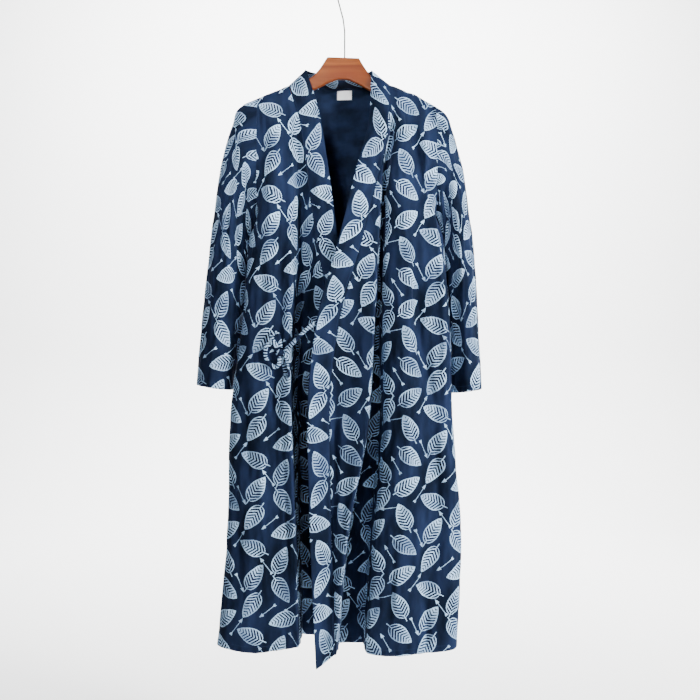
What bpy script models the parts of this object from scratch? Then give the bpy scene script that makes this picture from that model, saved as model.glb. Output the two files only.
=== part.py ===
"""A wrap-front cotton robe hung on a wooden hanger with a wire hook.

Metres, +Z up. The origin is the inner top of the hook, where a rail would hold it. +X is the viewer's right,
and the robe's front faces -Y. Every cloth piece is a wall along one smooth sheet. The sheets of the body run
from fold to fold: a table has a row for each fold, with its place at each named level from shoulder to hem.
"""

import math
from collections import namedtuple

import bmesh
import bpy
import numpy as np

CLOTH = 0.0014  # one layer of cloth, with the fullness of its weave
BAND_THICK = 0.0024  # the neckband is cloth folded double
BAND_WIDTH = 0.048
SEAM_GAP = 0.0003
BAND_SEAM_GAP = 0.0005

# The hanger's wire and wood
WIRE_RADIUS = 0.0015
HOOK_RADIUS = 0.022  # to the middle of the wire
HOOK_END_DEG = -35  # where the wire stops, counted from +X up towards the top
LEAN_Z = -0.1145  # the wire is straight up to here
STEM_TOP_Z = -0.1025
STEM_X = -0.001
STEM_FOOT_Z = -0.190
WOOD_THICK = 0.011
WOOD_EDGE = 0.003
WOOD_MIDDLE_X = -0.004
WOOD_TILT = 0.0373  # fall for each metre towards +X: the hanger hangs a little askew

# Heights of the robe
UNDERARM_Z = -0.500
YOKE_Z, CHEST_Z, CROSS_Z, WAIST_Z, HIP_Z, KNEE_Z = -0.285, -0.420, -0.546, -0.728, -0.900, -1.150
HEM_Z = -1.368
TOP_ROW = 0.04  # the first row below the top edge, where the cloth rolls over the hanger
BODY_ROWS_ABOVE_UNDERARM = 12
BODY_ROWS_BELOW_UNDERARM = 11
CORNER_START, UNDERARM_CORNER = 0.7, 0.9  # rows where the armhole's edge turns down into the side seam

# The cloth lies over the hanger in a roll this deep, then spreads into its folds
ROLL_DEPTH = 0.0095
ROLL_DROP = 0.010
SPREAD_DROP = 0.080

ARMHOLE_DEPTH = 0.036  # from the shoulder line to the front or the back of the armhole
LEFT, RIGHT = -1, 1
FRONT, BACK = -1, 1
ARMHOLE_X = {LEFT: -0.178, RIGHT: 0.185}

# The neckband's free edge behind the neck: how far back it reaches and how far it rises over its corners
NECK_DEPTH, NECK_RISE = 0.068, 0.006
NECK_SECTIONS = 9
BAND_COLUMNS = 5
BAND_REACH = 3  # the band lies within this many folds of the free edge

# Columns of each panel: across its wide folds, then from its deep valley to the band's seam
DEEP_VALLEY = {"under": 6, "over": 4}  # the place of that valley, counted from the sheet's first line
WIDE_COLUMNS = {"under": 19, "over": 22}
UNDER_SEAM_COLUMNS, OVER_SEAM_COLUMNS = 4, 6
SEAM_STEP = 0.3  # the least places between the under front's deep valley and its seam

LABEL_WIDTH, LABEL_HEIGHT, LABEL_THICK = 0.031, 0.019, 0.001
LABEL_X, LABEL_TOP_Z = -0.0015, -0.226
LABEL_ROWS, LABEL_COLUMNS = 4, 5

TIE_WIDTH, TIE_THICK = 0.008, 0.0016

# The robe's top outline: the collar's corners, then the shoulders down to the ends of the hanger
TopPoint = namedtuple("TopPoint", "x z")
TOP_LINE = {
    LEFT: (
        TopPoint(-0.2214, -0.2810), TopPoint(-0.2050, -0.2665), TopPoint(-0.1845, -0.2575),
        TopPoint(-0.1640, -0.2480), TopPoint(-0.1330, -0.2360), TopPoint(-0.1130, -0.2275),
        TopPoint(-0.0980, -0.2155), TopPoint(-0.0800, -0.1950),
    ),
    RIGHT: (
        TopPoint(0.0530, -0.1970), TopPoint(0.0720, -0.2125), TopPoint(0.0880, -0.2255),
        TopPoint(0.1130, -0.2380), TopPoint(0.1435, -0.2465), TopPoint(0.1580, -0.2560),
        TopPoint(0.1866, -0.2725), TopPoint(0.2010, -0.2830), TopPoint(0.2110, -0.2970),
    ),
}
# Where the back's top edge meets the band
NECK_SEAM_Z = {"left neck": -0.2262, "middle": -0.2240, "right neck": -0.2255}

# The side seams, where front and back meet below the underarm
SideLine = namedtuple("SideLine", "cross waist hip knee hem")
SIDE_X = {
    LEFT: SideLine(-0.1975, -0.2065, -0.2285, -0.2385, -0.2575),
    RIGHT: SideLine(0.2035, 0.2090, 0.2120, 0.2335, 0.2265),
}

# One row for each fold. x: at the shoulder, yoke, chest, cross, waist, hip, knee and hem.
# y: at the yoke, chest, cross, waist, hip, knee and hem. A fold may hang lower than the hem line.
Fold = namedtuple("Fold", "name x y drop top_y", defaults=(0.0, 0.0))
UNDER_FOLDS = (
    Fold("side turn",
         (-0.171, -0.173, -0.161, -0.187, -0.2085, -0.2315, -0.2395, -0.2585),
         (-0.030, -0.044, -0.026, -0.022, -0.020, -0.018, -0.016), -0.002),
    Fold("side ridge",
         (-0.164, -0.166, -0.154, -0.176, -0.194, -0.215, -0.224, -0.242),
         (-0.034, -0.052, -0.043, -0.042, -0.042, -0.040, -0.038), -0.001),
    Fold("outer ridge",
         (-0.147, -0.147, -0.1445, -0.148, -0.159, -0.173, -0.179, -0.185),
         (-0.038, -0.058, -0.056, -0.052, -0.050, -0.050, -0.046), 0.006),
    Fold("soft hollow",
         (-0.134, -0.128, -0.1235, -0.124, -0.133, -0.141, -0.141, -0.141),
         (-0.034, -0.049, -0.046, -0.044, -0.044, -0.045, -0.044), 0.002),
    Fold("fold edge",
         (-0.124, -0.112, -0.1090, -0.1075, -0.1135, -0.1115, -0.1005, -0.0935),
         (-0.034, -0.045, -0.050, -0.052, -0.055, -0.055, -0.052), -0.008),
    Fold("deep valley",
         (-0.117, -0.098, -0.0932, -0.0865, -0.090, -0.0905, -0.088, -0.088),
         (-0.026, -0.022, 0.000, 0.030, 0.034, 0.034, 0.032), -0.006),
    Fold("band ridge",
         (-0.098, -0.074, -0.058, -0.046, -0.030, -0.020, -0.010, -0.005),
         (-0.030, -0.046, -0.045, 0.012, 0.026, 0.035, 0.036), 0.0),
    Fold("band edge",
         (-0.080, -0.0530, -0.031, -0.0135, 0.028, 0.038, 0.043, 0.045),
         (-0.020, -0.047, -0.050, 0.005, 0.024, 0.034, 0.036), 0.0),
)
OVER_FOLDS = (
    Fold("band edge",
         (0.053, 0.0504, 0.0189, -0.0118, -0.0590, -0.0748, -0.0690, -0.0571),
         (-0.018, -0.052, -0.060, -0.064, -0.064, -0.064, -0.064), 0.032),
    Fold("inside the edge",
         (0.066, 0.064, 0.040, 0.010, -0.037, -0.0500, -0.0470, -0.0440),
         (-0.030, -0.053, -0.058, -0.058, -0.052, -0.052, -0.058), 0.024),
    Fold("soft trough",
         (0.080, 0.077, 0.056, 0.040, 0.000, -0.017, -0.0265, -0.0330),
         (-0.037, -0.047, -0.049, -0.045, -0.042, -0.045, -0.056), 0.016),
    Fold("left ridge",
         (0.092, 0.091, 0.072, 0.0650, 0.0550, 0.0450, 0.0020, -0.0190),
         (-0.038, -0.051, -0.053, -0.056, -0.060, -0.060, -0.060), 0.004),
    Fold("valley's left",
         (0.0965, 0.0965, 0.0780, 0.0725, 0.0625, 0.0520, 0.0090, -0.0110),
         (-0.032, -0.025, -0.008, 0.001, 0.005, 0.008, 0.008), 0.004),
    Fold("valley's right",
         (0.1005, 0.1020, 0.0845, 0.0780, 0.0690, 0.0680, 0.0460, 0.0350),
         (-0.031, -0.023, -0.006, 0.004, 0.010, 0.012, 0.012), 0.005),
    Fold("right ridge",
         (0.105, 0.107, 0.0905, 0.0840, 0.0800, 0.0825, 0.0610, 0.0450),
         (-0.037, -0.048, -0.048, -0.048, -0.050, -0.050, -0.048), 0.006),
    Fold("main ridge",
         (0.120, 0.120, 0.117, 0.119, 0.1247, 0.1247, 0.109, 0.099),
         (-0.042, -0.060, -0.064, -0.066, -0.066, -0.062, -0.058), 0.008),
    Fold("long hollow",
         (0.140, 0.136, 0.146, 0.148, 0.152, 0.1697, 0.1757, 0.1637),
         (-0.031, -0.044, -0.046, -0.044, -0.044, -0.044, -0.044), 0.006),
    Fold("side ridge",
         (0.160, 0.160, 0.160, 0.181, 0.1965, 0.198, 0.211, 0.204),
         (-0.034, -0.052, -0.048, -0.046, -0.044, -0.042, -0.040), 0.004),
    Fold("side turn",
         (0.174, 0.175, 0.167, 0.193, 0.2125, 0.2165, 0.2345, 0.227),
         (-0.030, -0.045, -0.028, -0.024, -0.022, -0.020, -0.018), 0.001),
)
BACK_FOLDS = (
    Fold("left ridge",
         (-0.163, -0.165, -0.160, -0.176, -0.186, -0.205, -0.212, -0.228),
         (0.034, 0.050, 0.046, 0.044, 0.044, 0.046, 0.048)),
    Fold("left hollow",
         (-0.140, -0.140, -0.130, -0.135, -0.140, -0.150, -0.155, -0.165),
         (0.032, 0.046, 0.050, 0.050, 0.052, 0.054, 0.056), 0.002),
    Fold("left neck corner",
         (-0.1145, -0.112, -0.100, -0.098, -0.100, -0.105, -0.110, -0.118),
         (0.036, 0.054, 0.062, 0.064, 0.068, 0.072, 0.076), 0.004),
    Fold("left neck",
         (-0.085, -0.080, -0.062, -0.058, -0.058, -0.060, -0.064, -0.068),
         (0.042, 0.052, 0.056, 0.056, 0.056, 0.056, 0.056), 0.0, 0.026),
    Fold("middle",
         (-0.012, -0.012, -0.012, -0.012, -0.012, -0.012, -0.014, -0.016),
         (0.044, 0.056, 0.063, 0.066, 0.070, 0.074, 0.078), 0.003, 0.040),
    Fold("right neck",
         (0.061, 0.056, 0.038, 0.034, 0.034, 0.036, 0.040, 0.040),
         (0.042, 0.052, 0.056, 0.056, 0.057, 0.058, 0.058), 0.0, 0.026),
    Fold("right neck corner",
         (0.0905, 0.088, 0.078, 0.078, 0.080, 0.084, 0.092, 0.092),
         (0.036, 0.053, 0.061, 0.064, 0.068, 0.072, 0.076), 0.004),
    Fold("right hollow",
         (0.130, 0.130, 0.128, 0.132, 0.136, 0.140, 0.148, 0.146),
         (0.031, 0.046, 0.050, 0.050, 0.052, 0.054, 0.054), 0.001),
    Fold("right ridge",
         (0.163, 0.165, 0.168, 0.184, 0.190, 0.194, 0.206, 0.199),
         (0.034, 0.050, 0.046, 0.044, 0.044, 0.046, 0.048)),
)

# Each sleeve from armhole to cuff. outer: the line that goes on from the shoulder; inner: the underarm line.
Section = namedtuple("Section", "outer_x outer_z inner_x inner_z depth middle_y")
SLEEVE_SECTIONS = {
    LEFT: (
        Section(-0.1780, -0.2545, -0.1780, -0.500, ARMHOLE_DEPTH, 0.000),
        Section(-0.2045, -0.2665, -0.1835, -0.504, 0.038, 0.000),
        Section(-0.2214, -0.2810, -0.1890, -0.510, 0.040, 0.001),
        Section(-0.2300, -0.3085, -0.1940, -0.520, 0.042, 0.003),
        Section(-0.2440, -0.3490, -0.1990, -0.536, 0.044, 0.006),
        Section(-0.2583, -0.4100, -0.2030, -0.562, 0.046, 0.009),
        Section(-0.2665, -0.4720, -0.2055, -0.598, 0.048, 0.012),
        Section(-0.2790, -0.5640, -0.2075, -0.654, 0.050, 0.014),
        Section(-0.2890, -0.6560, -0.2115, -0.716, 0.051, 0.015),
        Section(-0.2975, -0.7480, -0.2210, -0.784, 0.052, 0.015),
        Section(-0.3055, -0.8397, -0.2330, -0.851, 0.052, 0.015),
    ),
    RIGHT: (
        Section(0.1850, -0.2715, 0.1850, -0.500, ARMHOLE_DEPTH, 0.000),
        Section(0.2000, -0.2820, 0.1900, -0.504, 0.038, 0.000),
        Section(0.2110, -0.2970, 0.1960, -0.510, 0.040, 0.001),
        Section(0.2200, -0.3240, 0.2010, -0.520, 0.042, 0.003),
        Section(0.2310, -0.3600, 0.2050, -0.536, 0.044, 0.006),
        Section(0.2440, -0.4120, 0.2085, -0.563, 0.046, 0.009),
        Section(0.2520, -0.4740, 0.2105, -0.600, 0.048, 0.012),
        Section(0.2645, -0.5660, 0.2120, -0.656, 0.050, 0.014),
        Section(0.2706, -0.6580, 0.2135, -0.718, 0.051, 0.015),
        Section(0.2747, -0.7500, 0.2155, -0.786, 0.052, 0.015),
        Section(0.2808, -0.8480, 0.2180, -0.857, 0.052, 0.015),
    ),
}

# Long soft creases of a sleeve: at turn 0 is the outer line, 0.25 the front, 0.5 the underarm, 0.75 the back
Crease = namedtuple("Crease", "turn width depth start end")
SLEEVE_CREASES = {
    LEFT: (Crease(0.34, 0.050, 0.012, 0.10, 0.85), Crease(0.70, 0.060, 0.008, 0.15, 0.90)),
    RIGHT: (Crease(0.33, 0.050, 0.010, 0.15, 0.95), Crease(0.72, 0.060, 0.008, 0.10, 0.85)),
}

# The hanger's wood on one side of its middle: height of its top and its underside at each reach
WoodPoint = namedtuple("WoodPoint", "reach top under")
WOOD_PROFILE = (
    WoodPoint(0.0000, -0.1705, -0.2147), WoodPoint(0.0120, -0.1705, -0.2157),
    WoodPoint(0.0325, -0.1705, -0.2237), WoodPoint(0.0400, -0.1830, -0.2283),
    WoodPoint(0.0480, -0.1950, -0.2328), WoodPoint(0.0585, -0.2078, -0.2378),
    WoodPoint(0.0700, -0.2165, -0.2418), WoodPoint(0.0880, -0.2250, -0.2480),
    WoodPoint(0.1090, -0.2348, -0.2570), WoodPoint(0.1290, -0.2437, -0.2650),
    WoodPoint(0.1600, -0.2568, -0.2780), WoodPoint(0.1805, -0.2670, -0.2875),
    WoodPoint(0.2010, -0.2770, -0.2955), WoodPoint(0.2100, -0.2870, -0.2945),
)

# The bow on the under front: places across and down the robe, and how far each stands off the cloth
BowPoint = namedtuple("BowPoint", "x z lift")
KNOT = BowPoint(-0.1285, -0.7750, 0.0078)
KNOT_RADII = (0.0085, 0.0060, 0.0075)
BOW_ROUTES = {
    "tie_loop_side": (
        BowPoint(-0.1385, -0.7650, 0.0050), BowPoint(-0.1480, -0.7560, 0.0060),
        BowPoint(-0.1560, -0.7600, 0.0070), BowPoint(-0.1575, -0.7760, 0.0080),
        BowPoint(-0.1500, -0.7930, 0.0090), BowPoint(-0.1380, -0.8020, 0.0100),
        BowPoint(-0.1300, -0.7960, 0.0105), BowPoint(-0.1285, -0.7825, 0.0105),
    ),
    "tie_loop_top": (
        BowPoint(-0.1320, -0.7660, 0.0090), BowPoint(-0.1410, -0.7520, 0.0130),
        BowPoint(-0.1450, -0.7400, 0.0130), BowPoint(-0.1370, -0.7340, 0.0120),
        BowPoint(-0.1300, -0.7430, 0.0110), BowPoint(-0.1275, -0.7650, 0.0095),
    ),
    "tie_tail_left": (
        BowPoint(-0.1260, -0.7835, 0.0040), BowPoint(-0.1220, -0.7980, 0.0036),
        BowPoint(-0.1190, -0.8120, 0.0030), BowPoint(-0.1180, -0.8260, 0.0026),
    ),
    "tie_tail_right": (
        BowPoint(-0.1195, -0.7785, 0.0060), BowPoint(-0.1140, -0.7950, 0.0050),
        BowPoint(-0.1110, -0.8110, 0.0040), BowPoint(-0.1090, -0.8280, 0.0036),
    ),
}
# The strap leaves the knot, crosses the valley in the air and passes behind the over front's edge
STRAP_ROUTE = (
    (-0.1201, -0.0568, -0.7715), (-0.1080, -0.0620, -0.7600), (-0.0930, -0.0640, -0.7450),
    (-0.0780, -0.0635, -0.7300), (-0.0660, -0.0618, -0.7205), (-0.0560, -0.0605, -0.7150),
)

NAVY = (0.020, 0.038, 0.095)
INSIDE_NAVY = (0.014, 0.026, 0.066)
LABEL_WHITE = (0.86, 0.87, 0.88)
WOOD_BROWN = (0.47, 0.17, 0.05)
WIRE_GREY = (0.22, 0.21, 0.20)


def smooth_through(knots, values, at):
    """Values at the places `at`, on a monotone cubic through the knots: a ridge stays where its row says."""
    knots, values, at = (np.asarray(a, float) for a in (knots, values, at))
    steps = np.diff(knots)
    slopes = np.diff(values) / steps
    tangents = np.empty(len(knots))
    tangents[0], tangents[-1] = slopes[0], slopes[-1]
    for i in range(1, len(knots) - 1):
        before, after = slopes[i - 1], slopes[i]
        tangents[i] = 0.0 if before * after <= 0 else 2 * before * after / (before + after)
    at = np.clip(at, knots[0], knots[-1])
    i = np.clip(np.searchsorted(knots, at) - 1, 0, len(knots) - 2)
    s = (at - knots[i]) / steps[i]
    return (
        values[i] * (1 + 2 * s) * (1 - s) ** 2
        + values[i + 1] * s**2 * (3 - 2 * s)
        + steps[i] * tangents[i] * s * (1 - s) ** 2
        - steps[i] * tangents[i + 1] * s**2 * (1 - s)
    )


def ease(share):
    share = min(max(share, 0.0), 1.0)
    return share * share * (3 - 2 * share)


def top_z(x):
    line = TOP_LINE[LEFT if x < 0 else RIGHT]
    return float(smooth_through([p.x for p in line], [p.z for p in line], x))


def height(top, bottom, v):
    """Height at row v of the body: 0 is the top edge, 1 the underarm, 2 the hem."""
    if v <= 1:
        return top + (UNDERARM_Z - top) * (1 - math.cos(math.pi * v)) / 2
    return UNDERARM_Z + (bottom - UNDERARM_Z) * (v - 1)


def rolled(drop):
    """How far the cloth stands off the middle of the hanger, this far below its top."""
    return ROLL_DEPTH * math.sqrt(1 - (1 - min(drop / ROLL_DROP, 1.0)) ** 2)


def fold_point(fold, v, facing):
    over_neck = fold.top_y > 0
    top = NECK_SEAM_Z[fold.name] if over_neck else top_z(fold.x[0])
    z = height(top, HEM_Z - fold.drop, v)
    levels = [-top, -YOKE_Z, -CHEST_Z, -CROSS_Z, -WAIST_Z, -HIP_Z, -KNEE_Z, -(HEM_Z - fold.drop)]
    x = float(smooth_through(levels, fold.x, -z))
    spread_y = float(smooth_through(levels[1:], fold.y, -z))
    on_hanger = rolled(top - z) * (1 - min(fold.top_y / ROLL_DEPTH, 1.0))
    near_y = facing * (SEAM_GAP / 2 + fold.top_y + on_hanger)
    return x, near_y + (spread_y - near_y) * ease((top - z) / SPREAD_DROP), z


def side_point(side, v, facing):
    """The body's edge at one side: round the armhole down to the underarm, then down the side seam."""
    turned = ease((v - CORNER_START) / (UNDERARM_CORNER - CORNER_START))
    x = ARMHOLE_X[side] - side * (CLOTH / 2 + SEAM_GAP) * turned
    z = height(top_z(ARMHOLE_X[side]), HEM_Z, v)
    if v <= 1:
        return x, facing * (SEAM_GAP / 2 + ARMHOLE_DEPTH * math.sin(math.pi * v)), z
    levels = [-UNDERARM_Z, -CROSS_Z, -WAIST_Z, -HIP_Z, -KNEE_Z, -HEM_Z]
    return float(smooth_through(levels, (x, *SIDE_X[side]), -z)), facing * SEAM_GAP / 2, z


def body_row(sheet, places, v):
    """Points of a body sheet in row v. Place 0 is the sheet's first fold or side, 1 the next, and so on."""
    if sheet == "under":
        stations = [side_point(LEFT, v, FRONT)] + [fold_point(f, v, FRONT) for f in UNDER_FOLDS]
    elif sheet == "over":
        stations = [fold_point(f, v, FRONT) for f in OVER_FOLDS] + [side_point(RIGHT, v, FRONT)]
    else:
        stations = [side_point(LEFT, v, BACK)]
        stations += [fold_point(f, v, BACK) for f in BACK_FOLDS] + [side_point(RIGHT, v, BACK)]
    stations = np.array(stations)
    numbers = np.arange(len(stations))
    return np.column_stack([smooth_through(numbers, stations[:, i], places) for i in range(3)])


def body_normals(sheet, places, v):
    """Directions out of the robe, square to the sheet."""
    last = {"under": len(UNDER_FOLDS), "over": len(OVER_FOLDS), "back": len(BACK_FOLDS) + 1}[sheet]
    places = np.asarray(places, float)
    step = 0.04
    along = body_row(sheet, np.minimum(places + step, last), v)
    along = along - body_row(sheet, np.maximum(places - step, 0), v)
    down = body_row(sheet, places, min(v + step, 2)) - body_row(sheet, places, max(v - step, 0))
    normals = np.cross(down, along) * (-1 if sheet == "back" else 1)
    return normals / np.linalg.norm(normals, axis=1)[:, None]


def seam_place(sheet, v):
    """Where the neckband and the panel end in row v: at the band's width in from the sheet's free edge."""
    edge, inner = (0, BAND_REACH) if sheet == "over" else (len(UNDER_FOLDS), len(UNDER_FOLDS) - BAND_REACH)
    places = np.linspace(edge, inner, 300)
    points = body_row(sheet, places, v)
    run = np.concatenate([[0], np.cumsum(np.linalg.norm(np.diff(points, axis=0), axis=1))])
    band, cloth = np.interp((BAND_WIDTH, BAND_WIDTH + BAND_SEAM_GAP), run, places)
    return float(band), float(cloth)


def seam_direction(sheet, v):
    """The wall's direction at the band's seam: the band and the panel share it, so that their edges match."""
    return body_normals(sheet, [seam_place(sheet, v)[0]], v)[0]


def armhole_rows():
    return [0, TOP_ROW] + [(i + 1) / BODY_ROWS_ABOVE_UNDERARM for i in range(BODY_ROWS_ABOVE_UNDERARM)]


def body_rows():
    return armhole_rows() + [1 + (i + 1) / BODY_ROWS_BELOW_UNDERARM for i in range(BODY_ROWS_BELOW_UNDERARM)]


def spaced(first, last, count):
    return list(np.linspace(first, last, count))


def level_with(normals, axis):
    """Normals turned into the plane of a seam, lengthened so that the wall keeps its thickness."""
    longest = 1.4
    flat = normals.copy()
    flat[..., axis] = 0
    flat /= np.linalg.norm(flat, axis=-1)[..., None]
    return flat / np.clip((flat * normals).sum(axis=-1), 1 / longest, 1.0)[..., None]


def panel(sheet, places_of_row):
    """Grids of points and wall directions of one body panel, rows from the top edge to the hem."""
    points, normals = [], []
    for v in body_rows():
        places = places_of_row(v)
        points.append(body_row(sheet, places, v))
        normals.append(body_normals(sheet, places, v))
        if sheet != "back":
            at_band = -1 if sheet == "under" else 0
            normals[-1][at_band] = seam_direction(sheet, v)
    points, normals = np.array(points), np.array(normals)
    sides = {"under": (0,), "over": (-1,), "back": (0, -1)}[sheet]
    armhole = sum(v <= UNDERARM_CORNER for v in armhole_rows())
    for column in sides:
        normals[:armhole, column] = level_with(normals[:armhole, column], 0)
        normals[armhole:, column] = level_with(normals[armhole:, column], 1)
    at_neck = abs(points[0, :, 1]) > CLOTH
    normals[0, at_neck] = level_with(normals[0, at_neck], 2)
    normals[0, ~at_neck] = level_with(normals[0, ~at_neck], 1)
    for column in sides:
        normals[0, column] = (0, 0, 1)
    return points, normals


def new_object(name, mesh, colour, roughness, metallic=0.0):
    material = bpy.data.materials.new(name)
    material.use_nodes = True
    shader = material.node_tree.nodes["Principled BSDF"]
    shader.inputs["Base Color"].default_value = (*colour, 1)
    shader.inputs["Roughness"].default_value = roughness
    shader.inputs["Metallic"].default_value = metallic
    mesh.materials.append(material)
    obj = bpy.data.objects.new(name, mesh)
    bpy.context.collection.objects.link(obj)
    return obj


def wall(name, points, normals, thick, colour=NAVY, closed=False):
    """A closed solid half its thickness each side of a grid of points, or of rings when closed."""
    rows, columns = points.shape[:2]
    work = bmesh.new()
    sides = []
    for sign in (1, -1):
        moved = points + normals * (sign * thick / 2)
        sides.append([[work.verts.new(p) for p in row] for row in moved])
    outer, inner = sides
    steps = range(columns if closed else columns - 1)
    for r in range(rows - 1):
        for c in steps:
            n = (c + 1) % columns
            work.faces.new((outer[r][c], outer[r + 1][c], outer[r + 1][n], outer[r][n]))
            work.faces.new((inner[r][n], inner[r + 1][n], inner[r + 1][c], inner[r][c]))
    for r in (0, rows - 1):
        for c in steps:
            n = (c + 1) % columns
            work.faces.new((outer[r][c], outer[r][n], inner[r][n], inner[r][c]))
    if not closed:
        for r in range(rows - 1):
            for c in (0, columns - 1):
                work.faces.new((outer[r][c], inner[r][c], inner[r + 1][c], outer[r + 1][c]))
    bmesh.ops.recalc_face_normals(work, faces=work.faces)
    mesh = bpy.data.meshes.new(name)
    work.to_mesh(mesh)
    work.free()
    mesh.shade_smooth()
    mesh.set_sharp_from_angle(angle=math.radians(50))
    return new_object(name, mesh, colour, 0.9)


def under_places(v):
    seam = seam_place("under", v)[1]
    valley = min(DEEP_VALLEY["under"], seam - SEAM_STEP)
    return spaced(0, valley, WIDE_COLUMNS["under"]) + spaced(valley, seam, UNDER_SEAM_COLUMNS)[1:]


def over_places(v):
    seam = seam_place("over", v)[1]
    valley = DEEP_VALLEY["over"]
    to_side = spaced(valley, len(OVER_FOLDS), WIDE_COLUMNS["over"])
    return spaced(seam, valley, OVER_SEAM_COLUMNS)[:-1] + to_side


def back_places(_v):
    return spaced(0, len(BACK_FOLDS) + 1, 2 * len(BACK_FOLDS) + 3)


def make_body():
    wall("front_under", *panel("under", under_places), CLOTH)
    wall("front_over", *panel("over", over_places), CLOTH)
    wall("back", *panel("back", back_places), CLOTH)


def make_neckband():
    """One strip: up the under front's edge, round the back of the neck, and down the over front's edge."""
    under_points, under_normals = band_down("under")
    neck_points, neck_normals = neck_stretch()
    over_points, over_normals = band_down("over")
    points = under_points[::-1] + neck_points + over_points
    normals = under_normals[::-1] + neck_normals + over_normals
    wall("neckband", np.array(points), np.array(normals), BAND_THICK)


def band_down(sheet):
    """The band's rows down one front, each from the seam to the free edge."""
    points, normals = [], []
    for v in body_rows():
        places = band_places(sheet, v)
        points.append(body_row(sheet, places, v))
        normals.append(body_normals(sheet, places, v))
        normals[-1][0] = seam_direction(sheet, v)
    return points, normals


def band_places(sheet, v):
    """Places across the band in row v, from its seam to its free edge."""
    edge = 0 if sheet == "over" else len(UNDER_FOLDS)
    return spaced(seam_place(sheet, v)[0], edge, BAND_COLUMNS)


def neck_stretch():
    """The band's sections behind the neck. Its free edge leans back from the seam, most at the middle."""
    left = body_row("under", band_places("under", 0), 0)
    right = body_row("over", band_places("over", 0), 0)
    rows = [left]
    for i in range(1, NECK_SECTIONS):
        turn = math.pi * i / NECK_SECTIONS
        share = (1 - math.cos(turn)) / 2
        edge = left[-1] + (right[-1] - left[-1]) * share
        edge = edge + np.array([0, NECK_DEPTH, NECK_RISE]) * math.sin(turn)
        seam_x = left[0][0] + (right[0][0] - left[0][0]) * share
        seam = np.array([seam_x, *neck_seam(seam_x)])
        rows.append(np.array([seam + (edge - seam) * s for s in spaced(0, 1, BAND_COLUMNS)]))
    grid = np.array(rows + [right])
    along = np.gradient(grid, axis=0)
    up = np.gradient(grid, axis=1)
    normals = np.cross(up, along)
    normals /= np.linalg.norm(normals, axis=2)[..., None]
    normals[:, 0] = level_with(normals[:, 0], 2)
    return list(grid[1:-1]), list(normals[1:-1])


def neck_seam(x):
    """Depth and height of the band's seam at x, just above the back's neck edge."""
    left_corner, right_corner = 3, 7
    places = np.linspace(left_corner, right_corner, 200)
    top = body_row("back", places, 0)
    y, z = (float(np.interp(x, top[:, 0], top[:, i])) for i in (1, 2))
    return y, z + BAND_SEAM_GAP


def crease_at(creases, turn, along):
    """Depth of a sleeve's creases at one place round it (0 to 1) and down it (0 to 1)."""
    fade = 0.15
    depth = 0.0
    for crease in creases:
        off = (turn - crease.turn + 0.5) % 1 - 0.5
        reach = ease((along - crease.start) / fade) * ease((crease.end - along) / fade + 0.5)
        depth += crease.depth * math.exp(-((off / crease.width) ** 2)) * reach
    return depth


def sleeve_point(side, turn, along):
    """A point of a sleeve: turn runs from the outer line over the front, along from armhole to cuff."""
    sections = np.array(SLEEVE_SECTIONS[side])
    at = along * (len(sections) - 1)
    outer_x, outer_z, inner_x, inner_z, depth, middle_y = (
        float(smooth_through(range(len(sections)), sections[:, i], at)) for i in range(6)
    )
    angle = 2 * math.pi * turn
    share = (1 - math.cos(angle)) / 2
    half_depth = depth + SEAM_GAP / 2 - crease_at(SLEEVE_CREASES[side], turn, along)
    return np.array([
        outer_x + (inner_x - outer_x) * share + side * SEAM_GAP * (1 - along),
        middle_y - half_depth * math.sin(angle),
        outer_z + (inner_z - outer_z) * share,
    ])


def make_sleeve(side):
    front = [v / 2 for v in armhole_rows()]
    turns = front + [1 - turn for turn in reversed(front[1:-1])]
    rows = len(SLEEVE_SECTIONS[side])
    grid = np.array([[sleeve_point(side, turn, r / (rows - 1)) for turn in turns] for r in range(rows)])
    round_way = np.roll(grid, -1, axis=1) - np.roll(grid, 1, axis=1)
    down = np.gradient(grid, axis=0)
    normals = np.cross(down, round_way)
    normals /= np.linalg.norm(normals, axis=2)[..., None]
    normals[0] = level_with(normals[0], 0)
    wall("sleeve_left" if side == LEFT else "sleeve_right", grid, normals, CLOTH, closed=True)


def on_under_front(x, z, lift):
    """The point that stands off the under front by lift at x and z, and the way the cloth faces there."""
    side_turn, in_valley = 1, 5.4
    v = 1 + (z - UNDERARM_Z) / (HEM_Z - UNDERARM_Z)
    places = np.linspace(side_turn, in_valley, 300)
    row = body_row("under", places, v)
    place = [float(np.interp(x, row[:, 0], places))]
    facing = body_normals("under", place, v)[0]
    return body_row("under", place, v)[0] + np.array([0, lift / facing[1], 0]), facing


def ribbon(name, route, facing):
    """A flat tie along a smooth route. facing is the way its flat side looks."""
    route = np.array(route)
    lengths = np.concatenate([[0], np.cumsum(np.linalg.norm(np.diff(route, axis=0), axis=1))])
    at = np.linspace(0, lengths[-1], 3 * (len(route) - 1) + 1)
    line = np.column_stack([smooth_through(lengths, route[:, i], at) for i in range(3)])
    along = np.gradient(line, axis=0)
    across = np.cross(along, np.array(facing, float))
    across /= np.linalg.norm(across, axis=1)[:, None]
    flat = np.cross(across, along)
    flat /= np.linalg.norm(flat, axis=1)[:, None]
    grid = np.stack([line - across * TIE_WIDTH / 2, line + across * TIE_WIDTH / 2], axis=1)
    wall(name, grid, np.stack([flat, flat], axis=1), TIE_THICK)


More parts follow.
